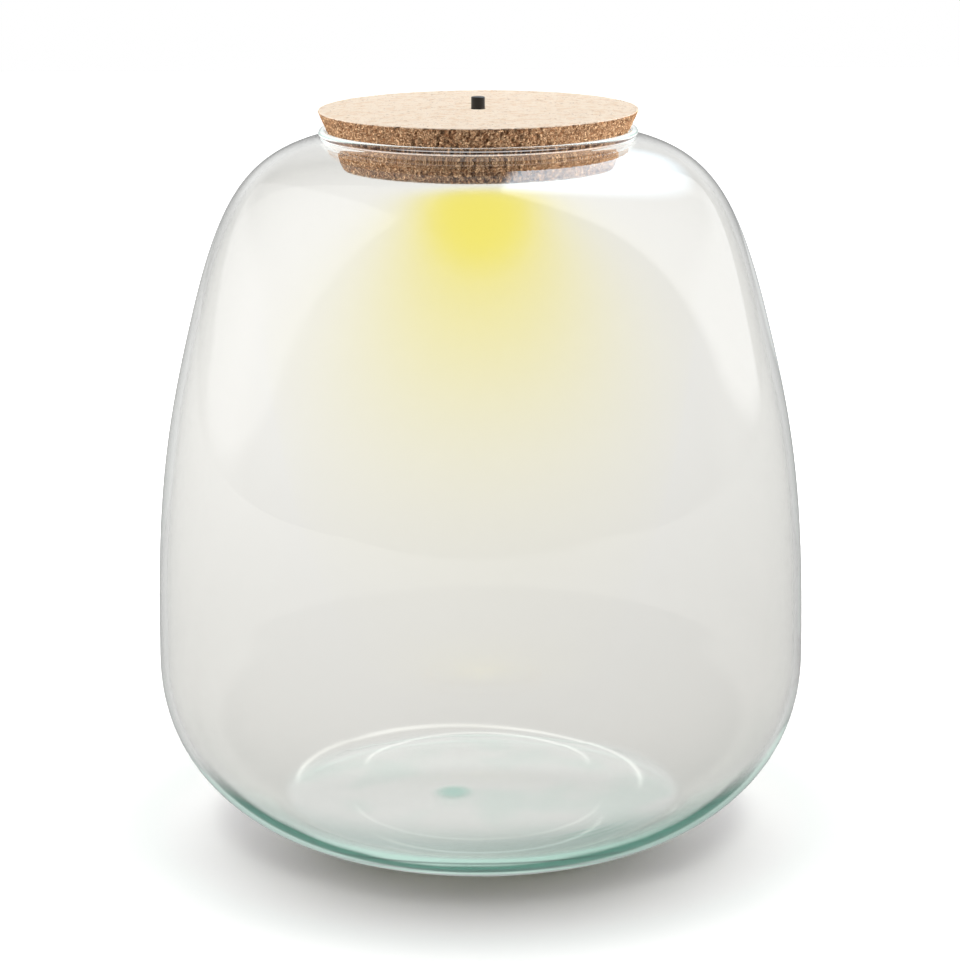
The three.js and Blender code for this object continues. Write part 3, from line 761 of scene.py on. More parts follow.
@dataclass
class Finishes:
    """Every finish of the object, built once."""

    grain: bpy.types.NodeTree = field(default_factory=fine_grain_group)
    marks: bpy.types.NodeTree = field(default_factory=hand_marks_group)

    def __post_init__(self) -> None:
        """Builds the materials, each under the name of its slot in the record."""
        plain = (
            Plain("black_plastic", (0.012, 0.011, 0.010), Sheen.SATIN, 0.2),
            Plain("white_plastic", (0.80, 0.79, 0.75), Sheen.SATIN, 0.03),
            Plain("dark_rubber", (0.022, 0.022, 0.022), Sheen.CHALKY, 0.2),
            Plain("clear_rubber", (0.62, 0.62, 0.58), Sheen.MATT),
            Plain("steel", (0.60, 0.61, 0.62), Sheen.SATIN, 0.05, 1.0),
            Plain("mirror_foil", (0.82, 0.83, 0.84), Sheen.GLOSS, 0.03, 1.0),
            Plain("board", (0.84, 0.84, 0.80), Sheen.SATIN, 0.04),
            Plain("resistor", (0.015, 0.015, 0.016), Sheen.MATT, 0.2),
            Plain("red_insulation", (0.43, 0.015, 0.010), Sheen.SATIN, 0.1),
            Plain("black_insulation", (0.010, 0.010, 0.010), Sheen.SATIN, 0.2),
        )
        lit = (
            Glowing("frosted_plastic", (0.95, 0.90, 0.62), (1.0, 0.86, 0.25), 2.0, 0.25),
            Glowing("led", (0.95, 0.75, 0.12), (1.0, 0.86, 0.30), 6.0),
        )
        self.materials = {finish.name: finish.build(self.grain, self.marks) for finish in plain}
        self.materials |= {finish.name: finish.build(self.grain) for finish in lit}
        self.materials["clear_glass"] = ClearGlass().build(self.marks)
        self.materials["pressed_cork"] = PressedCork().build(self.grain)
        self.materials["cell_sleeve"] = CellSleeve().build(self.marks)


# Shapes


@dataclass(frozen=True)
class Bend:
    """A cubic bend in a turned outline, from one (radius, height) point to another."""

    start: Point
    leaving: Point
    arriving: Point
    end: Point

    def at(self, share: float) -> Vector:
        """Gives the point at a share of the bend."""
        rest = 1 - share
        weights = (rest**3, 3 * rest**2 * share, 3 * rest * share**2, share**3)
        return sum((Vector(p) * w for p, w in zip(self.corners(), weights)), Vector((0.0, 0.0)))

    def heading(self, share: float) -> Vector:
        """Gives the unit direction of travel at a share of the bend."""
        corners = [Vector(point) for point in self.corners()]
        rest = 1 - share
        steps = [after - before for before, after in zip(corners, corners[1:])]
        weights = (rest**2, 2 * rest * share, share**2)
        return sum((s * w for s, w in zip(steps, weights)), Vector((0.0, 0.0))).normalized()

    def corners(self) -> tuple[Point, Point, Point, Point]:
        """Gives the four control points."""
        return self.start, self.leaving, self.arriving, self.end

    def points(self, count: int) -> list[Point]:
        """Gives evenly stepped points, both ends included."""
        return [tuple(self.at(step / count)) for step in range(count + 1)]


def turned(outline: list[Point], sides: int, closed: bool = False) -> bmesh.types.BMesh:
    """Spins an outline about Z into a solid of revolution.

    A sixteenth is spun and then doubled four times, which is much quicker than a whole turn.

    Args:
        outline: (radius, height) points, on the axis at both ends unless closed.
        sides: The number of steps round the axis, a multiple of 16.
        closed: Whether the outline joins its end to its start.

    Returns:
        The solid, with its faces pointing out.
    """
    shape = bmesh.new()
    points = [shape.verts.new((radius, 0.0, height)) for radius, height in outline]
    pairs = list(zip(points, points[1:]))
    if closed:
        pairs.append((points[-1], points[0]))
    edges = [shape.edges.new(pair) for pair in pairs]
    turn = 2 * math.pi / 16
    bmesh.ops.spin(
        shape,
        geom=points + edges,
        cent=(0.0, 0.0, 0.0),
        axis=(0.0, 0.0, 1.0),
        angle=turn,
        steps=sides // 16,
        use_duplicate=False,
    )
    for doubling in range(4):
        whole = shape.verts[:] + shape.edges[:] + shape.faces[:]
        copy = bmesh.ops.duplicate(shape, geom=whole)["geom"]
        moved = [part for part in copy if isinstance(part, bmesh.types.BMVert)]
        spun = Matrix.Rotation(turn * 2**doubling, 3, "Z")
        bmesh.ops.rotate(shape, verts=moved, cent=(0.0, 0.0, 0.0), matrix=spun)
    bmesh.ops.remove_doubles(shape, verts=shape.verts, dist=1e-6)
    bmesh.ops.recalc_face_normals(shape, faces=shape.faces)
    return shape


def round_edges(shape: bmesh.types.BMesh, width: float) -> None:
    """Rounds the sharp edges of a solid.

    Args:
        shape: The solid.
        width: How far the rounding reaches from the edge.
    """
    sharp = [e for e in shape.edges if len(e.link_faces) == 2 and e.calc_face_angle(0.0) > SHARP_TURN]
    bmesh.ops.bevel(
        shape,
        geom=sharp,
        offset=width,
        offset_type="OFFSET",
        segments=2,
        profile=0.5,
        affect="EDGES",
        clamp_overlap=True,
        material=-1,
    )


def finished(name: str, shape: bmesh.types.BMesh, material: bpy.types.Material, crease: float = 40.0):
    """Turns a shape into an object whose shading is smooth but for its creases.

    Args:
        name: The object's name.
        shape: The solid, which is freed.
        material: The object's finish.
        crease: The turn of the surface, in degrees, past which an edge stays sharp.

    Returns:
        The object, at the origin.
    """
    limit = math.radians(crease)
    for face in shape.faces:
        face.smooth = True
    for edge in shape.edges:
        edge.smooth = edge.calc_face_angle(0.0) < limit
    mesh = bpy.data.meshes.new(name)
    shape.to_mesh(mesh)
    shape.free()
    mesh.materials.append(material)
    piece = bpy.data.objects.new(name, mesh)
    bpy.context.scene.collection.objects.link(piece)
    return piece


def store(piece: bpy.types.Object, marks: dict[str, list[float]]) -> None:
    """Keeps numbers for each point of a piece, for its material to read.

    Args:
        piece: The piece.
        marks: One number for each vertex, by the attribute's name.
    """
    for name, values in marks.items():
        attribute = piece.data.attributes.new(name, "FLOAT", "POINT")
        attribute.data.foreach_set("value", values)


def mount(piece: bpy.types.Object, body: str, slot: str, *nodes: str) -> bpy.types.Object:
    """Seats a piece on its body, in the place of the nodes that it stands for.

    Args:
        piece: The piece.
        body: The body that it moves with.
        slot: The record's material slot; not used.
        *nodes: The nodes of the frame that it replaces.

    Returns:
        The piece.
    """
    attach(piece, body)
    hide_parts(*nodes)
    log.info("%s stands for %s on %s", piece.name, ", ".join(nodes), body)
    return piece


def refine(finishes: Finishes, body: str, *rows: tuple[str, str, str, float]) -> list[bpy.types.Object]:
    """Makes and seats small pieces that keep their node's form, with rounded edges.

    Args:
        finishes: The object's finishes.
        body: The body that they move with.
        *rows: Each piece's node, name, slot and width of rounding.

    Returns:
        The pieces.
    """
    pieces = []
    for node, name, slot, rounding in rows:
        solid = bmesh.new()
        solid.from_mesh(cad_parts[node].data)
        bmesh.ops.remove_doubles(solid, verts=solid.verts, dist=2e-6)
        bmesh.ops.dissolve_limit(
            solid,
            angle_limit=math.radians(1.0),
            use_dissolve_boundaries=False,
            verts=solid.verts,
            edges=solid.edges,
        )
        if rounding:
            round_edges(solid, rounding)
        piece = finished(name, solid, finishes.materials[slot])
        pieces.append(mount(piece, body, slot, node))
    return pieces


# Bottle


@dataclass(frozen=True)
class FloorLine:
    """An arc drawn on the bottle's floor, from one bearing to another, in degrees from +X, as a painted
    highlight or a tinted stroke.
    """

    x: float
    y: float
    radius: float
    width: float
    start: float
    end: float
    level: float = 1.0
    fade: float = 22.0

    def at(self, place: Vector) -> float:
        """Gives how strong the arc is at a place, from 0 to 1."""
        across, along = place.x - self.x, place.y - self.y
        off = (math.hypot(across, along) - self.radius) / self.width
        middle = (self.start + self.end) / 2
        bearing = (math.degrees(math.atan2(along, across)) - middle + 180) % 360 - 180
        reach = (self.end - self.start) / 2
        ends = smooth_step(abs(bearing), reach, reach - self.fade)
        broken = 0.85 + 0.45 * noise.noise(place * 35.0)
        return min(self.level * ends * broken, 1.0) * math.exp(-off * off)


@dataclass
class GlassBottle:
    """The blown bottle: one wall from the pushed-up base to the rolled lip."""

    height: float = 0.3012
    belly_radius: float = 0.140
    belly_height: float = 0.073
    belly_reach_down: float = 0.0564
    belly_reach_up: float = 0.0762
    waist_radius: float = 0.1228
    waist_height: float = 0.2214
    waist_lean: float = math.radians(14.15)
    waist_reach_down: float = 0.042
    waist_reach_up: float = 0.0505
    shoulder_rise: float = math.radians(13.6)
    shoulder_reach: float = 0.0298
    shoulder_drop: float = 0.0047
    shoulder_spread: float = 0.0026
    neck_inset: float = 0.0014
    throat_turn: float = 0.95
    lip_radius: float = 0.06564
    lip_half_width: float = 0.00175
    lip_half_height: float = 0.00165
    foot_radius: float = 0.089
    foot_reach: float = 0.0006
    foot_width: float = 0.006
    punt_height: float = 0.0046
    punt_reach: float = 0.035
    punt_lead: float = 0.017
    floor_thickness: float = 0.0048
    floor_reach: float = 0.045
    # Arcs of painted highlight that the floor of the glass emits.
    glint_arcs: tuple["FloorLine", ...] = (
        FloorLine(-0.006, 0.0140, 0.0780, 0.0012, -16.0, 190.0, 1.0),
        FloorLine(-0.0022, 0.0343, 0.0512, 0.0011, -8.0, 188.0, 0.8),
        FloorLine(-0.0019, -0.0123, 0.0549, 0.0009, -178.0, -2.0, 0.5),
        FloorLine(-0.0013, -0.0298, 0.0545, 0.0011, -150.0, -2.0, 1.0),
        FloorLine(0.0040, -0.0385, 0.0587, 0.0010, -150.0, -20.0, 0.85),
        FloorLine(0.0, 0.0, 0.0922, 0.0012, -31.0, -18.0, 1.0, 6.0),
    )
    strokes: tuple["FloorLine", ...] = (
        FloorLine(0.0, 0.0, 0.0722, 0.0011, -68.0, -36.0, 0.50, 12.0),
        FloorLine(0.0, 0.0, 0.0755, 0.0012, -70.0, -33.0, 0.75, 14.0),
        FloorLine(0.0, 0.0, 0.0790, 0.0012, -66.0, -31.0, 0.70, 12.0),
        FloorLine(0.0, 0.0, 0.0824, 0.0011, -64.0, -34.0, 0.50, 12.0),
        FloorLine(0.004, 0.0, 0.0640, 0.0060, -172.0, -142.0, 0.28, 14.0),
    )
    wall_thickness: float = 0.0032
    heel_thickness: float = 0.0054
    heel_fade: float = 0.014
    heel_top: float = 0.055
    foot_ease: float = 0.0045
    foot_share: float = 0.16
    corner_lead: float = 0.012
    sides: int = 288
    hand_wobble: float = 0.00010
    scar: Point = (-0.0125, -0.013)
    scar_radius: float = 0.0078
    scar_rise: float = 0.0003

    def outer_wall(self) -> list[Bend]:
        """Gives the outside in three bends: heel to belly, belly to waist, waist to shoulder."""
        lean = (-math.sin(self.waist_lean), math.cos(self.waist_lean))
        rise = (-math.cos(self.shoulder_rise), math.sin(self.shoulder_rise))
        belly = (self.belly_radius, self.belly_height)
        waist = (self.waist_radius, self.waist_height)
        shoulder = (
            self.lip_radius + self.lip_half_width + self.shoulder_spread,
            self.height - self.shoulder_drop,
        )
        below_waist = tuple(p - d * self.waist_reach_down for p, d in zip(waist, lean))
        above_waist = tuple(p + d * self.waist_reach_up for p, d in zip(waist, lean))
        to_shoulder = tuple(p - d * self.shoulder_reach for p, d in zip(shoulder, rise))
        return [
            Bend(
                (self.foot_radius, 0.0),
                (self.foot_radius + self.foot_reach, 0.0),
                (self.belly_radius, self.belly_height - self.belly_reach_down),
                belly,
            ),
            Bend(belly, (self.belly_radius, self.belly_height + self.belly_reach_up), below_waist, waist),
            Bend(waist, above_waist, to_shoulder, shoulder),
        ]

    def inside(self, bend: Bend, share: float) -> Point:
        """Gives the point of the inner wall that faces a point of the outer one.

        Args:
            bend: A bend of the outer wall.
            share: How far along it.

        Returns:
            The inner wall's (radius, height).
        """
        at = bend.at(share)
        heading = bend.heading(share)
        extra = (self.heel_thickness - self.wall_thickness) * math.exp(-at.y / self.heel_fade)
        thickness = self.wall_thickness + extra
        return at.x - heading.y * thickness, at.y + heading.x * thickness

    def outline(self) -> list[Point]:
        """Gives the wall's outline, from the base's middle out, up, over the lip and back down."""
        bends = self.outer_wall()
        steps = (44, 30, 44)
        stops = [(bend, step / count) for bend, count in zip(bends, steps) for step in range(count)]
        stops = [stop for stop in stops if stop[0] is not bends[0] or stop[1] > self.foot_share]
        stops.append((bends[-1], 1.0))
        outer = [tuple(bend.at(share)) for bend, share in stops]
        inner = [self.inside(bend, share) for bend, share in stops]
        inner.reverse()
        middle = self.height - self.lip_half_height
        turns = [math.pi * (step / 18 * 4 / 3 - 1 / 3) for step in range(19)]
        lip = [
            (
                self.lip_radius + self.lip_half_width * math.cos(turn),
                middle + self.lip_half_height * math.sin(turn),
            )
            for turn in turns
        ]
        neck_radius = self.lip_radius + self.lip_half_width - self.neck_inset
        slope = math.tan(self.shoulder_rise)
        lead = self.shoulder_spread * 0.8
        neck = Bend(
            outer[-1],
            (outer[-1][0] - lead, outer[-1][1] + lead * slope),
            (neck_radius, lip[0][1] - self.lip_half_height / 4),
            lip[0],
        )
        mouth = lip[-1]
        width = inner[0][0] - mouth[0]
        turn_height = inner[0][1] + width * slope
        lead = width * self.throat_turn
        throat = Bend(
            mouth,
            (mouth[0], turn_height + (mouth[1] - turn_height) * (1 - self.throat_turn)),
            (inner[0][0] - lead, inner[0][1] + lead * slope),
            inner[0],
        )
        top = self.punt_height + self.floor_thickness
        corner = inner[-1]
        heading = bends[0].heading(stops[0][1])
        lead_in = (corner[0] - heading.x * self.corner_lead, corner[1] - heading.y * self.corner_lead)
        floor = Bend(corner, lead_in, (self.floor_reach, top), (0.0, top))
        foot_start = (self.foot_radius - self.foot_ease, 0.0)
        lead_out = tuple(Vector(outer[0]) - heading * self.foot_ease)
        foot = Bend(foot_start, (self.foot_radius, 0.0), lead_out, outer[0])
        foot_inner = self.foot_radius - self.foot_width
        dish = Bend(
            (0.0, self.punt_height),
            (self.punt_reach, self.punt_height),
            (foot_inner - self.punt_lead, 0.0),
            (foot_inner, 0.0),
        )
        return [
            *dish.points(40),
            *foot.points(16)[:-1],
            *outer,
            *neck.points(14)[1:-1],
            *lip,
            *throat.points(12)[1:-1],
            *inner,
            *floor.points(130)[1:],
        ]

    def bead_turn(self, at: Vector, inward: bool) -> float:
        """Finds how far round the lip's bead a point lies, in quarter turns up from its outside.

        Args:
            at: The point.
            inward: Whether it is on the inner wall.

        Returns:
            The turn, or -1.2 on the rest of the outer wall and 3 on the rest of the inner one.
        """
        across = (at.xy.length - self.lip_radius) / self.lip_half_width
        up = (at.z - self.height) / self.lip_half_height + 1
        if abs(math.hypot(across, up) - 1) > 0.04:
            return 3.0 if inward else -1.2
        turn = math.atan2(up, across) / (math.pi / 2)
        return turn if turn > -1 else turn + 4

    def worked(self, shape: bmesh.types.BMesh) -> dict[str, list[float]]:
        """Moves the wall a little, as hand work does, and raises the scar on the floor.

        Args:
            shape: The turned bottle.

        Returns:
            The heel, floor, scar, line, stroke and bead attributes, one number for each vertex; line marks
            the arcs of painted highlight.
        """
        shape.normal_update()
        names = ("heel", "floor", "scar", "line", "stroke", "bead")
        marks: dict[str, list[float]] = {name: [] for name in names}
        floor_top = self.punt_height + self.floor_thickness
        for vertex in shape.verts:
            at = vertex.co
            wave = noise.noise(at * 9.0) + 0.2 * noise.noise(at * 24.0 + Vector((3.0, 1.0, 7.0)))
            low = smooth_step(at.z, 0.0002, 0.02)
            high = smooth_step(at.z, self.height - 0.004, self.height - 0.03)
            inward = vertex.normal.dot(Vector((at.x, at.y, at.z - self.belly_height))) < 0
            reach = self.hand_wobble * (1.6 if inward else 1.0)
            off_scar = math.hypot(at.x - self.scar[0], at.y - self.scar[1]) / self.scar_radius
            on_floor = inward and at.z < floor_top + MM
            on_scar = math.exp(-(off_scar**4)) if on_floor else 0.0
            move = vertex.normal * wave * reach * low * high
            past_foot = smooth_step(at.xy.length, self.foot_radius - 0.005, self.foot_radius + 0.003)
            low_wall = smooth_step(at.z, self.heel_top, self.heel_top / 3)
            marks["heel"].append(0.0 if inward else past_foot * low_wall)
            marks["floor"].append(1 - past_foot if at.z < 2 * floor_top else 0.0)
            marks["scar"].append(on_scar)
            marks["line"].append(max(line.at(at) for line in self.glint_arcs) if on_floor else 0.0)
            marks["stroke"].append(max(line.at(at) for line in self.strokes) if on_floor else 0.0)
            marks["bead"].append(self.bead_turn(at, inward))
            vertex.co = at + move + Vector((0.0, 0.0, on_scar * self.scar_rise))
        return marks

    def build(self, finishes: Finishes) -> bpy.types.Object:
        """Makes the bottle.

        Args:
            finishes: The object's finishes.

        Returns:
            The piece.
        """
        shape = turned(self.outline(), self.sides)
        marks = self.worked(shape)
        piece = finished("blown_bottle", shape, finishes.materials["clear_glass"], 80.0)
        store(piece, marks)
        return mount(piece, "bottle", "clear_glass", "glass_bottle")


# Stopper


@dataclass
class CorkStopper:
    """The tapered cork, with torn granules on its side and pits in its sanded faces."""

    taper: float = math.radians(25.0)
    chamfer: float = 0.0006
    recess_radius: float = 0.0497
    recess_depth: float = 0.0031
    pocket_radius: float = 0.0417
    pocket_depth: float = 0.0153
    bush_bore: float = 0.0051
    bush_depth: float = 0.0225
    button_bore: float = 0.0033
    sides: int = 720
    row: float = 0.00062
    granule: float = 0.0016
    side_relief: float = 0.00050
    face_relief: float = 0.00007
    pit_depth: float = 0.00045
    rim_chip: float = 0.0009
    fine_relief: float = 0.00016

    def __post_init__(self) -> None:
        """Reads the cork's height and reach from the frame."""
        low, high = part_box("cork_stopper")
        self.bottom = low.z
        self.top = high.z
        self.thickness = high.z - low.z
        self.reach = high.x
        self.slope = math.tan(self.taper)
        self.top_radius = self.reach + self.chamfer * self.slope
        self.bottom_radius = self.top_radius - self.thickness * self.slope

    def run(self, start: Point, end: Point, step: float) -> list[Point]:
        """Gives points along a straight stretch, its end left out.

        Args:
            start: The stretch's start.
            end: The stretch's end.
            step: The length between points.

        Returns:
            The (radius, height) points.
        """
        line = Vector(end) - Vector(start)
        count = max(round(line.length / step), 1)
        return [tuple(Vector(start) + line * (k / count)) for k in range(count)]

    def outline(self) -> list[Point]:
        """Gives the cork's closed outline, fine where it shows and coarse in its pocket."""
        bottom, top = self.bottom, self.top
        recess = bottom + self.recess_depth
        pocket = bottom + self.pocket_depth
        bush = bottom + self.bush_depth
        corners = [
            (self.recess_radius, bottom),
            (self.bottom_radius - self.chamfer, bottom),
            (self.bottom_radius + self.chamfer * self.slope, bottom + self.chamfer),
            (self.reach, top - self.chamfer),
            (self.top_radius - self.chamfer, top),
            (self.button_bore, top),
            (self.button_bore, bush),
            (self.bush_bore, bush),
            (self.bush_bore, pocket),
            (self.pocket_radius, pocket),
            (self.pocket_radius, recess),
            (self.recess_radius, recess),
        ]
        coarse = 4 * MM
        steps = [self.row * 1.4] + [self.row] * 4 + [self.row * 1.5] + [coarse] * 6
        ends = corners[1:] + corners[:1]
        return [p for a, b, step in zip(corners, ends, steps) for p in self.run(a, b, step)]

    def thin_out(self, shape: bmesh.types.BMesh) -> None:
        """Takes out every second spoke, again and again, toward the middle of the cork.

        Args:
            shape: The spun cork.
        """
        for level, radius in enumerate((0.040, 0.020, 0.010)):
            stride = 2 ** (level + 1)
            spokes = []
            for edge in shape.edges:
                ends = [vertex.co for vertex in edge.verts]
                if max(end.xy.length for end in ends) > radius:
                    continue
                turns = [math.atan2(end.y, end.x) * self.sides / (2 * math.pi) for end in ends]
                if abs(turns[0] - turns[1]) < 0.25 and round(turns[0]) % stride == stride // 2:
                    spokes.append(edge)
            bmesh.ops.dissolve_edges(shape, edges=spokes, use_verts=False)
            loose = [
                vertex
                for vertex in shape.verts
                if len(vertex.link_edges) == 2 and vertex.co.xy.length < radius * 0.99
            ]
            bmesh.ops.dissolve_verts(shape, verts=loose)

    def granules(self, at: Vector, size: float) -> tuple[float, float]:
        """Finds the granule at a point.

        Args:
            at: The point.
            size: The granules' size.

        Returns:
            How near the point is to a gap, from 0 to 1, and the granule's own number, -1 to 1.
        """
        warped = at + noise.noise_vector(at * 700.0) * (size * 0.3)
        distances, places = noise.voronoi(warped / size)
        nearness = 1 - smooth_step(distances[1] - distances[0], 0.0, 0.28)
        return nearness, noise.cell(places[0] * 11.3 + Vector((5.5, 2.5, 8.5)))

    def torn(self, shape: bmesh.types.BMesh) -> dict[str, list[float]]:
        """Opens gaps, pits and chips in the cork, always inward.

        Args:
            shape: The spun cork.

        Returns:
            The side, gap and pit attributes, one number for each vertex.
        """
        shape.normal_update()
        marks: dict[str, list[float]] = {"side": [], "gap": [], "pit": []}
        moves = []
        for vertex in shape.verts:
            at = vertex.co
            radius = at.xy.length
            edge_radius = self.bottom_radius + (at.z - self.bottom) * self.slope
            on_side = 1.0 if radius > edge_radius - 0.9 * self.chamfer else 0.0
            shown = radius > self.recess_radius or at.z > self.top - 0.2 * MM
            near, number = self.granules(at, self.granule)
            rough = noise.fractal(at * 1500.0, 0.6, 2.0, 3)
            depth = pit = 0.0
            if on_side:
                lost = smooth_step(number, 0.80, 0.88)
                depth = self.side_relief * (near + 1.3 * lost) + self.fine_relief * (rough + 0.6)
                near = max(near * 0.9, 0.6 * lost)
                if at.z > self.top - 2.2 * MM:
                    _, chip = self.granules(at, self.granule * 1.7)
                    rim = smooth_step(at.z, self.top - 2.2 * MM, self.top - 0.2 * MM)
                    depth += self.rim_chip * rim * smooth_step(chip, 0.45, 0.8)
            elif shown:
                fine_near, fine_number = self.granules(at, self.granule * 0.62)
                pit = smooth_step(fine_number, 0.90, 0.96) * (1 - fine_near)
                depth = self.face_relief * near + self.pit_depth * pit
                depth += 0.25 * self.face_relief * (rough + 0.6)
            moves.append(vertex.normal * -max(depth, 0.0))
            marks["side"].append(on_side)
            marks["gap"].append(near)
            marks["pit"].append(pit)
        for vertex, move in zip(shape.verts, moves):
            vertex.co += move
        return marks

    def build(self, finishes: Finishes) -> bpy.types.Object:
        """Makes the cork.

        Args:
            finishes: The object's finishes.

        Returns:
            The piece.
        """
        shape = turned(self.outline(), self.sides, closed=True)
        self.thin_out(shape)
        marks = self.torn(shape)
        piece = finished("granulated_cork", shape, finishes.materials["pressed_cork"], 60.0)
        store(piece, marks)
        return mount(piece, "stopper", "pressed_cork", "cork_stopper")


@dataclass
class PushButton:
    """The black button, its rod and the coil that lifts it."""

    rounding: float = 0.00045
    flange: float = 0.0009
    flange_height: float = 0.0012
    bore_radius: float = 0.0018
    bore_depth: float = 0.0035
    dish: float = 0.00015
    spring_foot: float = 0.2997
    spring_keep: float = 0.63
    sides: int = 80

    def cap(self) -> bmesh.types.BMesh:
        """Turns the cap, with a slightly dished top and a rounded rim.

        Returns:
            The solid.
        """
        low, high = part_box("button_cap")
        outer = high.x
        radius = outer - self.flange
        shelf = low.z + self.flange_height
        rim = radius - self.rounding
        arc = [
            (
                rim + self.rounding * math.cos(turn * math.pi / 12),
                high.z - self.rounding * (1 - math.sin(turn * math.pi / 12)),
            )
            for turn in range(7)
        ]
        outline = [
            (0.0, high.z - self.bore_depth),
            (self.bore_radius, high.z - self.bore_depth),
            (self.bore_radius, low.z),
            (outer, low.z),
            (outer, shelf),
            (radius, shelf),
            *arc,
            (rim * 0.6, high.z - self.dish),
            (0.0, high.z - self.dish),
        ]
        return turned(outline, self.sides)

    def build(self, finishes: Finishes) -> list[bpy.types.Object]:
        """Makes the button's pieces.

        Args:
            finishes: The object's finishes.

        Returns:
            The pieces.
        """
        cap = finished("button_moulding", self.cap(), finishes.materials["black_plastic"])
        (coil,) = refine(finishes, "stopper", ("return_spring", "return_coil", "steel", 0.0))
        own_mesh(coil)
        pins = (
            ("push_rod", "rod_moulding", "white_plastic", 0.0001),
            ("switch_plunger", "plunger_pin", "white_plastic", 0.0001),
        )
        return [
            mount(cap, "button", "black_plastic", "button_cap"),
            *refine(finishes, "button", *pins),
            *refine(finishes, "stopper", ("guide_bush", "bush_moulding", "black_plastic", 0.0001)),
            coil,
        ]


@dataclass
class Lamp:
    """The housing in the cork's pocket, with the board, the switch and the screws."""

    def build(self, finishes: Finishes) -> list[bpy.types.Object]:
        """Makes the lamp's pieces.

        Args:
            finishes: The object's finishes.

        Returns:
            The pieces.
        """
        rows = [
            ("lamp_housing", "housing_moulding", "white_plastic", 0.0002),
            ("housing_gasket", "housing_washer", "dark_rubber", 0.0001),
            ("led_board", "light_board", "board", 0.00008),
            ("switch_body", "switch_case", "black_plastic", 0.0002),
            ("reflector_ring", "foil_reflector", "mirror_foil", 0.00006),
        ]
        for number in NUMBERS:
            rows += [
                (f"housing_screw_{number}", f"cross_screw_{number}", "steel", 0.00008),
                (f"led_chip_{number}", f"light_chip_{number}", "led", 0.00008),
                (f"resistor_{number}", f"chip_resistor_{number}", "resistor", 0.00006),
            ]
        return refine(finishes, "stopper", *rows)


@dataclass
class CellPack:
    """Three cells in series round the lamp, with their springs, strips and leads."""

    def build(self, finishes: Finishes) -> list[bpy.types.Object]:
        """Makes the cells and what joins them, and notes how far along its cell each point lies.

        Args:
            finishes: The object's finishes.

        Returns:
            The pieces.
        """
        rows = [(f"battery_{number}", f"sleeved_cell_{number}", "cell_sleeve", 0.0003) for number in NUMBERS]
        cells = refine(finishes, "stopper", *rows)
        for cell, turn in zip(cells, THIRDS):
            axis = Vector((math.cos(turn), math.sin(turn), 0.0))
            reach = [vertex.co.dot(axis) for vertex in cell.data.vertices]
            low, high = min(reach), max(reach)
            store(cell, {"along": [(value - low) / (high - low) for value in reach]})
        rows = [
            ("bridge_contact_1", "bridge_strip_1", "steel", 0.00006),
            ("bridge_contact_2", "bridge_strip_2", "steel", 0.00006),
            ("positive_contact", "positive_strip", "steel", 0.00006),
            ("negative_contact", "negative_strip", "steel", 0.00006),
            ("positive_lead", "positive_wire", "red_insulation", 0.0),
            ("negative_lead", "negative_wire", "black_insulation", 0.0),
        ]
        rows += [(f"cell_spring_{number}", f"cell_coil_{number}", "steel", 0.0) for number in NUMBERS]
        return cells + refine(finishes, "stopper", *rows)


@dataclass
class LampCover:
    """The round cover under the lamp, with its lens and both seals."""

    lens_wall: float = 0.0014
    flange_width: float = 0.002
    flange_thickness: float = 0.001
    dome_drop: float = 0.0049
    sides: int = 96

    def lens(self) -> bmesh.types.BMesh:
        """Turns the lens: a hollow dome with a flange on top.

        Returns:
            The solid.
        """
        low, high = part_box("lens")
        radius = high.x - self.flange_width
        inner = radius - self.lens_wall
        level = low.z + self.dome_drop
        turns = [step * math.pi / 32 for step in range(16)]
        outside = [(radius * math.cos(t), level - self.dome_drop * math.sin(t)) for t in turns]
        drop = self.dome_drop - self.lens_wall
        inside = [(inner * math.cos(t), level - drop * math.sin(t)) for t in turns]
        shelf = high.z - self.flange_thickness
        outline = [
            (0.0, low.z),
            *reversed(outside),
            (radius, shelf),
            (high.x, shelf),
            (high.x, high.z),
            (inner, high.z),
            *inside,
            (0.0, low.z + self.lens_wall),
        ]
        return turned(outline, self.sides)

    def build(self, finishes: Finishes) -> list[bpy.types.Object]:
        """Makes the cover's pieces.

        Args:
            finishes: The object's finishes.

        Returns:
            The pieces.
        """
        lens = finished("frosted_lens", self.lens(), finishes.materials["frosted_plastic"])
        rows = (
            ("battery_cover", "cover_moulding", "white_plastic", 0.0002),
            ("cover_seal", "cover_ring", "clear_rubber", 0.0),
            ("lens_seal", "lens_washer", "clear_rubber", 0.00006),
        )
        return [mount(lens, "cover", "frosted_plastic", "lens"), *refine(finishes, "cover", *rows)]


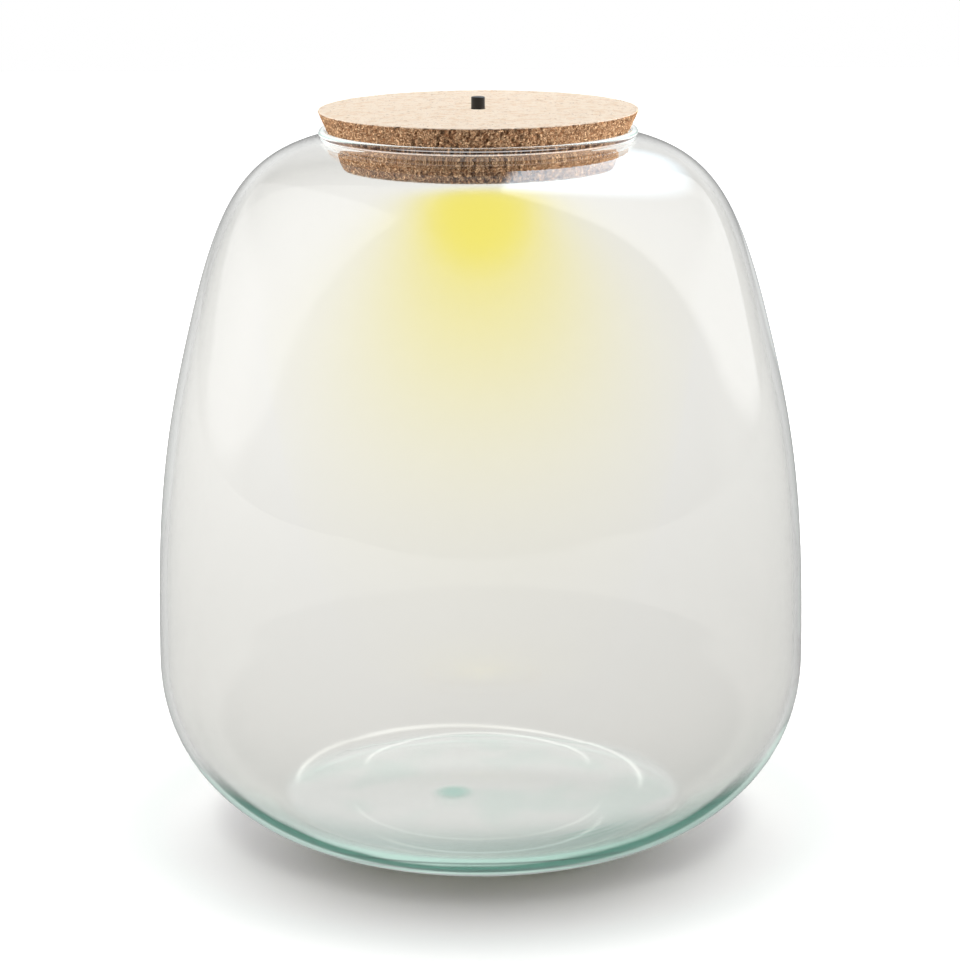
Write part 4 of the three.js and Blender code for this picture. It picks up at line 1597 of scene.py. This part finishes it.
@dataclass
class LampGlow:
    """The lamp's light in the air of the bottle: a round core, and a halo that widens downward."""

    colour: Colour = (0.955, 0.850, 0.165)
    brightness: float = 1.04
    core_drop: float = 0.0218
    core_size: float = 0.0158
    core_depth: float = 3.4
    halo_start: float = 0.0071
    halo_size: float = 0.020
    halo_spread: float = 0.5
    halo_depth: float = 2.35
    halo_fade: float = 0.075
    halo_reach: float = 0.150
    top_start: float = 0.006
    top_end: float = 0.015
    top_radius: float = 0.074
    side_radius: float = 0.095
    source_drop: float = 0.0102
    depth: float = 0.235
    march: float = 0.1

    def thickness(self, wiring: Wiring, cork_bottom: float) -> Socket:
        """Works out how thick the glow is, from its height and its distance from the axis.

        Args:
            wiring: The material's wiring.
            cork_bottom: The height of the cork's underside.

        Returns:
            The output socket.
        """
        place = wiring.place()
        flat = wiring.vector("MULTIPLY", place, (1.0, 1.0, 0.0))
        across = wiring.vector("DOT_PRODUCT", flat, flat)
        drop = wiring.math("SUBTRACT", cork_bottom, wiring.parts(place)["Z"])
        from_core = wiring.math("SUBTRACT", drop, self.core_drop)
        square = wiring.math("MULTIPLY_ADD", from_core, from_core, across)
        core = wiring.math("EXPONENT", wiring.times(square, -1 / self.core_size**2))
        root = math.sqrt(math.pi)
        core = wiring.times(core, self.core_depth / (self.core_size * root))
        below = wiring.math("MAXIMUM", wiring.math("SUBTRACT", drop, self.halo_start), 0.0)
        size = wiring.math("MULTIPLY_ADD", below, self.halo_spread, self.halo_size)
        spread = wiring.math("DIVIDE", across, wiring.times(size, size))
        far = wiring.times(below, 1 / self.halo_reach)
        spread = wiring.math("MULTIPLY_ADD", far, far, spread)
        spread = wiring.math("MULTIPLY_ADD", below, 1 / self.halo_fade, spread)
        halo = wiring.math("EXPONENT", wiring.times(spread, -1.0))
        halo = wiring.math("DIVIDE", wiring.times(halo, self.halo_depth / root), size)
        fade_in = wiring.ease(drop, self.top_start, self.top_end)
        return wiring.times(wiring.math("ADD", core, halo), fade_in)

    def material(self, cork_bottom: float) -> bpy.types.Material:
        """Makes the glow's volume.

        Args:
            cork_bottom: The height of the cork's underside.

        Returns:
            The material.
        """
        material = bpy.data.materials.new("lamp_light")
        wiring = emptied(material)
        thick = self.thickness(wiring, cork_bottom)
        strength = wiring.times(thick, self.brightness)
        light = wiring.add("ShaderNodeEmission", {"Color": self.colour, "Strength": strength}).outputs[0]
        veil = wiring.add("ShaderNodeVolumeAbsorption", {"Color": BLACK, "Density": thick}).outputs[0]
        wiring.add("ShaderNodeOutputMaterial", {"Volume": wiring.join(light, veil)})
        material.cycles.volume_step_rate = self.march
        return material

    def build(self) -> bpy.types.Object:
        """Makes the glow, which is light and not a piece of the object.

        Returns:
            The volume, which moves with the stopper.
        """
        cork_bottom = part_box("cork_stopper")[0].z
        top = cork_bottom - 0.7 * MM
        below = top - self.source_drop
        flare = Bend(
            (self.top_radius, top),
            (self.side_radius, top),
            (self.side_radius, below),
            (self.side_radius, below - self.source_drop),
        )
        swell = flare.end[1]
        turns = [step * math.pi / 48 for step in range(1, 24)]
        bowl = [
            (self.side_radius * math.cos(turn), swell - self.depth * math.sin(turn)) for turn in turns
        ]
        outline = [(0.0, swell - self.depth), *reversed(bowl), *reversed(flare.points(10)), (0.0, top)]
        glow = finished("lamp_glow", turned(outline, 48), self.material(cork_bottom))
        glow.visible_shadow = False
        glow.visible_diffuse = False
        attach(glow, "stopper")
        return glow


# Studio


@dataclass(frozen=True)
class RoundLight:
    """A round soft light of the studio, seen only in reflections, and the flags that cut it."""

    centre: Colour
    half_angle: float
    level: float
    flags: tuple[Colour, ...]
    softness: float = 0.02
    flag_softness: float = 0.02
    colour: Colour = WHITE

    def brightness(self, wiring: Wiring, direction: Socket) -> Socket:
        """Works out the light's brightness in a direction.

        Args:
            wiring: The world's wiring.
            direction: The socket of the direction that is looked in.

        Returns:
            The output socket.
        """
        edge = math.cos(math.radians(self.half_angle))
        toward = wiring.vector("DOT_PRODUCT", direction, self.centre)
        share = wiring.ease(toward, edge - self.softness, edge + self.softness)
        for flag in self.flags:
            across = wiring.vector("DOT_PRODUCT", direction, flag)
            share = wiring.times(share, wiring.ease(across, -self.flag_softness, self.flag_softness))
        behind = wiring.parts(direction)["Y"]
        return wiring.times(share, wiring.ease(behind, -0.1, 0.95, self.level, self.level * 0.45))


@dataclass
class Studio:
    """The pale studio: floor, lamps, surroundings and the camera of the photograph."""

    camera_place: Colour = (0.0, -1.2972, 0.4659)
    camera_pitch: float = 13.772
    camera_roll: float = -0.3
    camera_lens: float = 115.45
    floor_half: float = 3.0
    floor_drop: float = 0.0002
    floor_colour: Colour = (0.97, 0.97, 0.965)
    floor_mirrored: float = 0.35
    floor_slope: float = 0.066
    fade_start: float = 0.12
    fade_end: float = 0.42
    key_height: float = 1.10
    key_back: float = 0.126
    key_width: float = 0.252
    key_level: float = 0.74
    side_levels: tuple[float, float] = (1.55, 1.85)
    side_turn: float = 78.0
    side_height: float = 0.5
    side_spread: float = 14.0
    fill_level: float = 0.04
    dark_level: float = 0.20
    back_level: float = 0.60
    inner_level: float = 0.50
    overhead_level: float = 0.55
    lights: tuple[RoundLight, ...] = (
        RoundLight((-0.724, 0.303, 0.620), 40.4, 0.85, ((-0.824, -0.294, -0.484),)),
        RoundLight(
            (0.588, 0.500, 0.636),
            41.8,
            1.75,
            ((0.996, -0.022, -0.085), (0.49, -0.52, 0.68), (0.87, -0.487, 0.048)),
        ),
    )
    veil: RoundLight = RoundLight(
        (0.200, 0.620, 0.760), 27.0, 8.2, ((0.996, -0.022, -0.085),), 0.07, 0.025, (0.66, 0.84, 1.0)
    )

    def camera(self) -> None:
        """Places the camera of the photograph."""
        data = bpy.data.cameras.new("camera")
        data.lens = self.camera_lens
        data.sensor_width = 36.0
        camera = bpy.data.objects.new("camera", data)
        camera.location = self.camera_place
        roll = Matrix.Rotation(math.radians(self.camera_roll), 4, "Z")
        pitch = Matrix.Rotation(math.radians(90.0 - self.camera_pitch), 4, "X")
        camera.rotation_euler = (pitch @ roll).to_euler()
        bpy.context.scene.collection.objects.link(camera)
        bpy.context.scene.camera = camera

    def floor(self) -> None:
        """Lays the pale floor, which keeps the shadow and fades to white away from it. Seen through the
        glass, it glows with painted light that is brighter on the left than on the right.
        """
        shape = bmesh.new()
        bmesh.ops.create_grid(shape, x_segments=1, y_segments=1, size=self.floor_half)
        bmesh.ops.translate(shape, verts=shape.verts, vec=(0.0, 0.0, -self.floor_drop))
        material = bpy.data.materials.new("studio_floor")
        wiring = emptied(material)
        path = wiring.add("ShaderNodeLightPath").outputs
        first = wiring.math("LESS_THAN", path["Diffuse Depth"], 0.5)
        fade = wiring.ease(wiring.vector("LENGTH", wiring.place()), self.fade_start, self.fade_end)
        side = wiring.parts(wiring.place())["X"]
        # Painted light: the floor seen through the glass glows brighter on the left than on the right.
        uneven = wiring.ease(side, -0.3, 0.3, 1.0 + self.floor_slope, 1.0 - self.floor_slope)
        lit = wiring.add("ShaderNodeBsdfDiffuse", {"Color": self.floor_colour}).outputs[0]
        lift, mirrored, through = (
            wiring.add("ShaderNodeEmission", {"Strength": strength}).outputs[0]
            for strength in (fade, self.floor_mirrored, uneven)
        )
        mixed = wiring.mix(path["Is Camera Ray"], lit, wiring.join(lit, lift))
        mixed = wiring.mix(wiring.times(path["Is Glossy Ray"], first), mixed, mirrored)
        mixed = wiring.mix(wiring.times(path["Is Transmission Ray"], first), mixed, through)
        wiring.add("ShaderNodeOutputMaterial", {"Surface": mixed})
        floor = finished("studio_floor", shape, material)

    def hang(self, data: bpy.types.Light, place: Colour, turn: Colour) -> None:
        """Hangs a lamp that lights the object but isn't seen in it.

        Args:
            data: The lamp.
            place: Where it hangs.
            turn: Its turn about X, Y and Z, in degrees.
        """
        lamp = bpy.data.objects.new(data.name, data)
        lamp.location = place
        lamp.rotation_euler = tuple(math.radians(angle) for angle in turn)
        lamp.visible_glossy = False
        lamp.visible_transmission = False
        bpy.context.scene.collection.objects.link(lamp)

    def lamps(self) -> None:
        """Hangs a round soft lamp overhead, a little behind, and a broad low one on each side."""
        key = bpy.data.lights.new("key_lamp", "AREA")
        key.shape = "DISK"
        key.size = self.key_width
        key.energy = 1.0
        wiring = emptied(key)
        strength = self.key_level * 4 * math.pi
        even = wiring.add("ShaderNodeLightFalloff", {"Strength": strength}).outputs["Constant"]
        glow = wiring.add("ShaderNodeEmission", {"Strength": even})
        wiring.add("ShaderNodeOutputLight", {"Surface": glow.outputs[0]})
        self.hang(key, (0.0, self.key_back, self.key_height), (0.0, 0.0, 0.0))
        for name, way, level in zip(("left_lamp", "right_lamp"), (-1, 1), self.side_levels):
            side = bpy.data.lights.new(name, "SUN")
            side.energy = math.pi * level
            side.angle = math.radians(self.side_spread)
            self.hang(side, (way, -0.3, 0.3), (90.0 - self.side_height, 0.0, way * self.side_turn))

    def surroundings(self) -> None:
        """Builds the world: white behind, soft all round, and the lights in reflections."""
        world = bpy.data.worlds.new("studio")
        bpy.context.scene.world = world
        wiring = emptied(world)
        world.cycles.sampling_method = "NONE"
        path = wiring.add("ShaderNodeLightPath").outputs
        direction = wiring.add("ShaderNodeTexCoord").outputs["Generated"]
        parts = wiring.parts(direction)
        room = wiring.ease(parts["Z"], 0.0, 1.0, self.dark_level, self.dark_level * 0.7)
        behind = wiring.ease(parts["Y"], 0.80, 0.93, 0.0, self.back_level)
        room = wiring.math("ADD", room, wiring.times(behind, wiring.ease(parts["Z"], 0.0, 0.2)))
        for light in self.lights:
            room = wiring.math("ADD", room, light.brightness(wiring, direction))
        inside = wiring.ease(parts["Z"], 0.62, 0.85, self.inner_level, self.overhead_level)
        unturned = wiring.math("LESS_THAN", path["Glossy Depth"], 0.5)
        onward = wiring.math("MAXIMUM", wiring.ease(parts["Y"], 0.0, 0.3), unturned)
        straight = wiring.times(wiring.ease(parts["Z"], 0.30, 0.16), onward)
        inside = wiring.between(straight, inside, 1.0)
        within = wiring.math("GREATER_THAN", path["Transmission Depth"], 0.5)
        seen = wiring.between(within, room, inside)
        seen = wiring.between(path["Is Camera Ray"], seen, 1.0)
        first = wiring.math("LESS_THAN", path["Diffuse Depth"], 0.5)
        level = wiring.between(first, self.fill_level, seen)
        outside = wiring.math("SUBTRACT", 1.0, within)
        reflected = wiring.times(path["Is Glossy Ray"], outside, first)
        reflected = wiring.times(reflected, self.veil.brightness(wiring, direction))
        sky, veil = (
            wiring.add("ShaderNodeBackground", {"Color": colour, "Strength": strength}).outputs[0]
            for colour, strength in ((WHITE, level), (self.veil.colour, reflected))
        )
        wiring.add("ShaderNodeOutputWorld", {"Surface": wiring.join(sky, veil)})

    def build(self) -> None:
        """Sets up the whole studio."""
        scene = bpy.context.scene
        scene.view_settings.view_transform = "Standard"
        self.camera()
        self.floor()
        self.lamps()
        self.surroundings()


def main() -> None:
    """Builds the studio and then the object, piece by piece."""
    logging.basicConfig(level=logging.INFO, format="%(message)s")
    noise.seed_set(NOISE_SEED)
    Studio().build()
    finishes = Finishes()
    GlassBottle().build(finishes)
    CorkStopper().build(finishes)
    for sub_assembly in (PushButton(), Lamp(), CellPack(), LampCover()):
        pieces = sub_assembly.build(finishes)
        log.info("%s: %d pieces", type(sub_assembly).__name__, len(pieces))
    LampGlow().build()


if __name__ == "__main__":
    main()
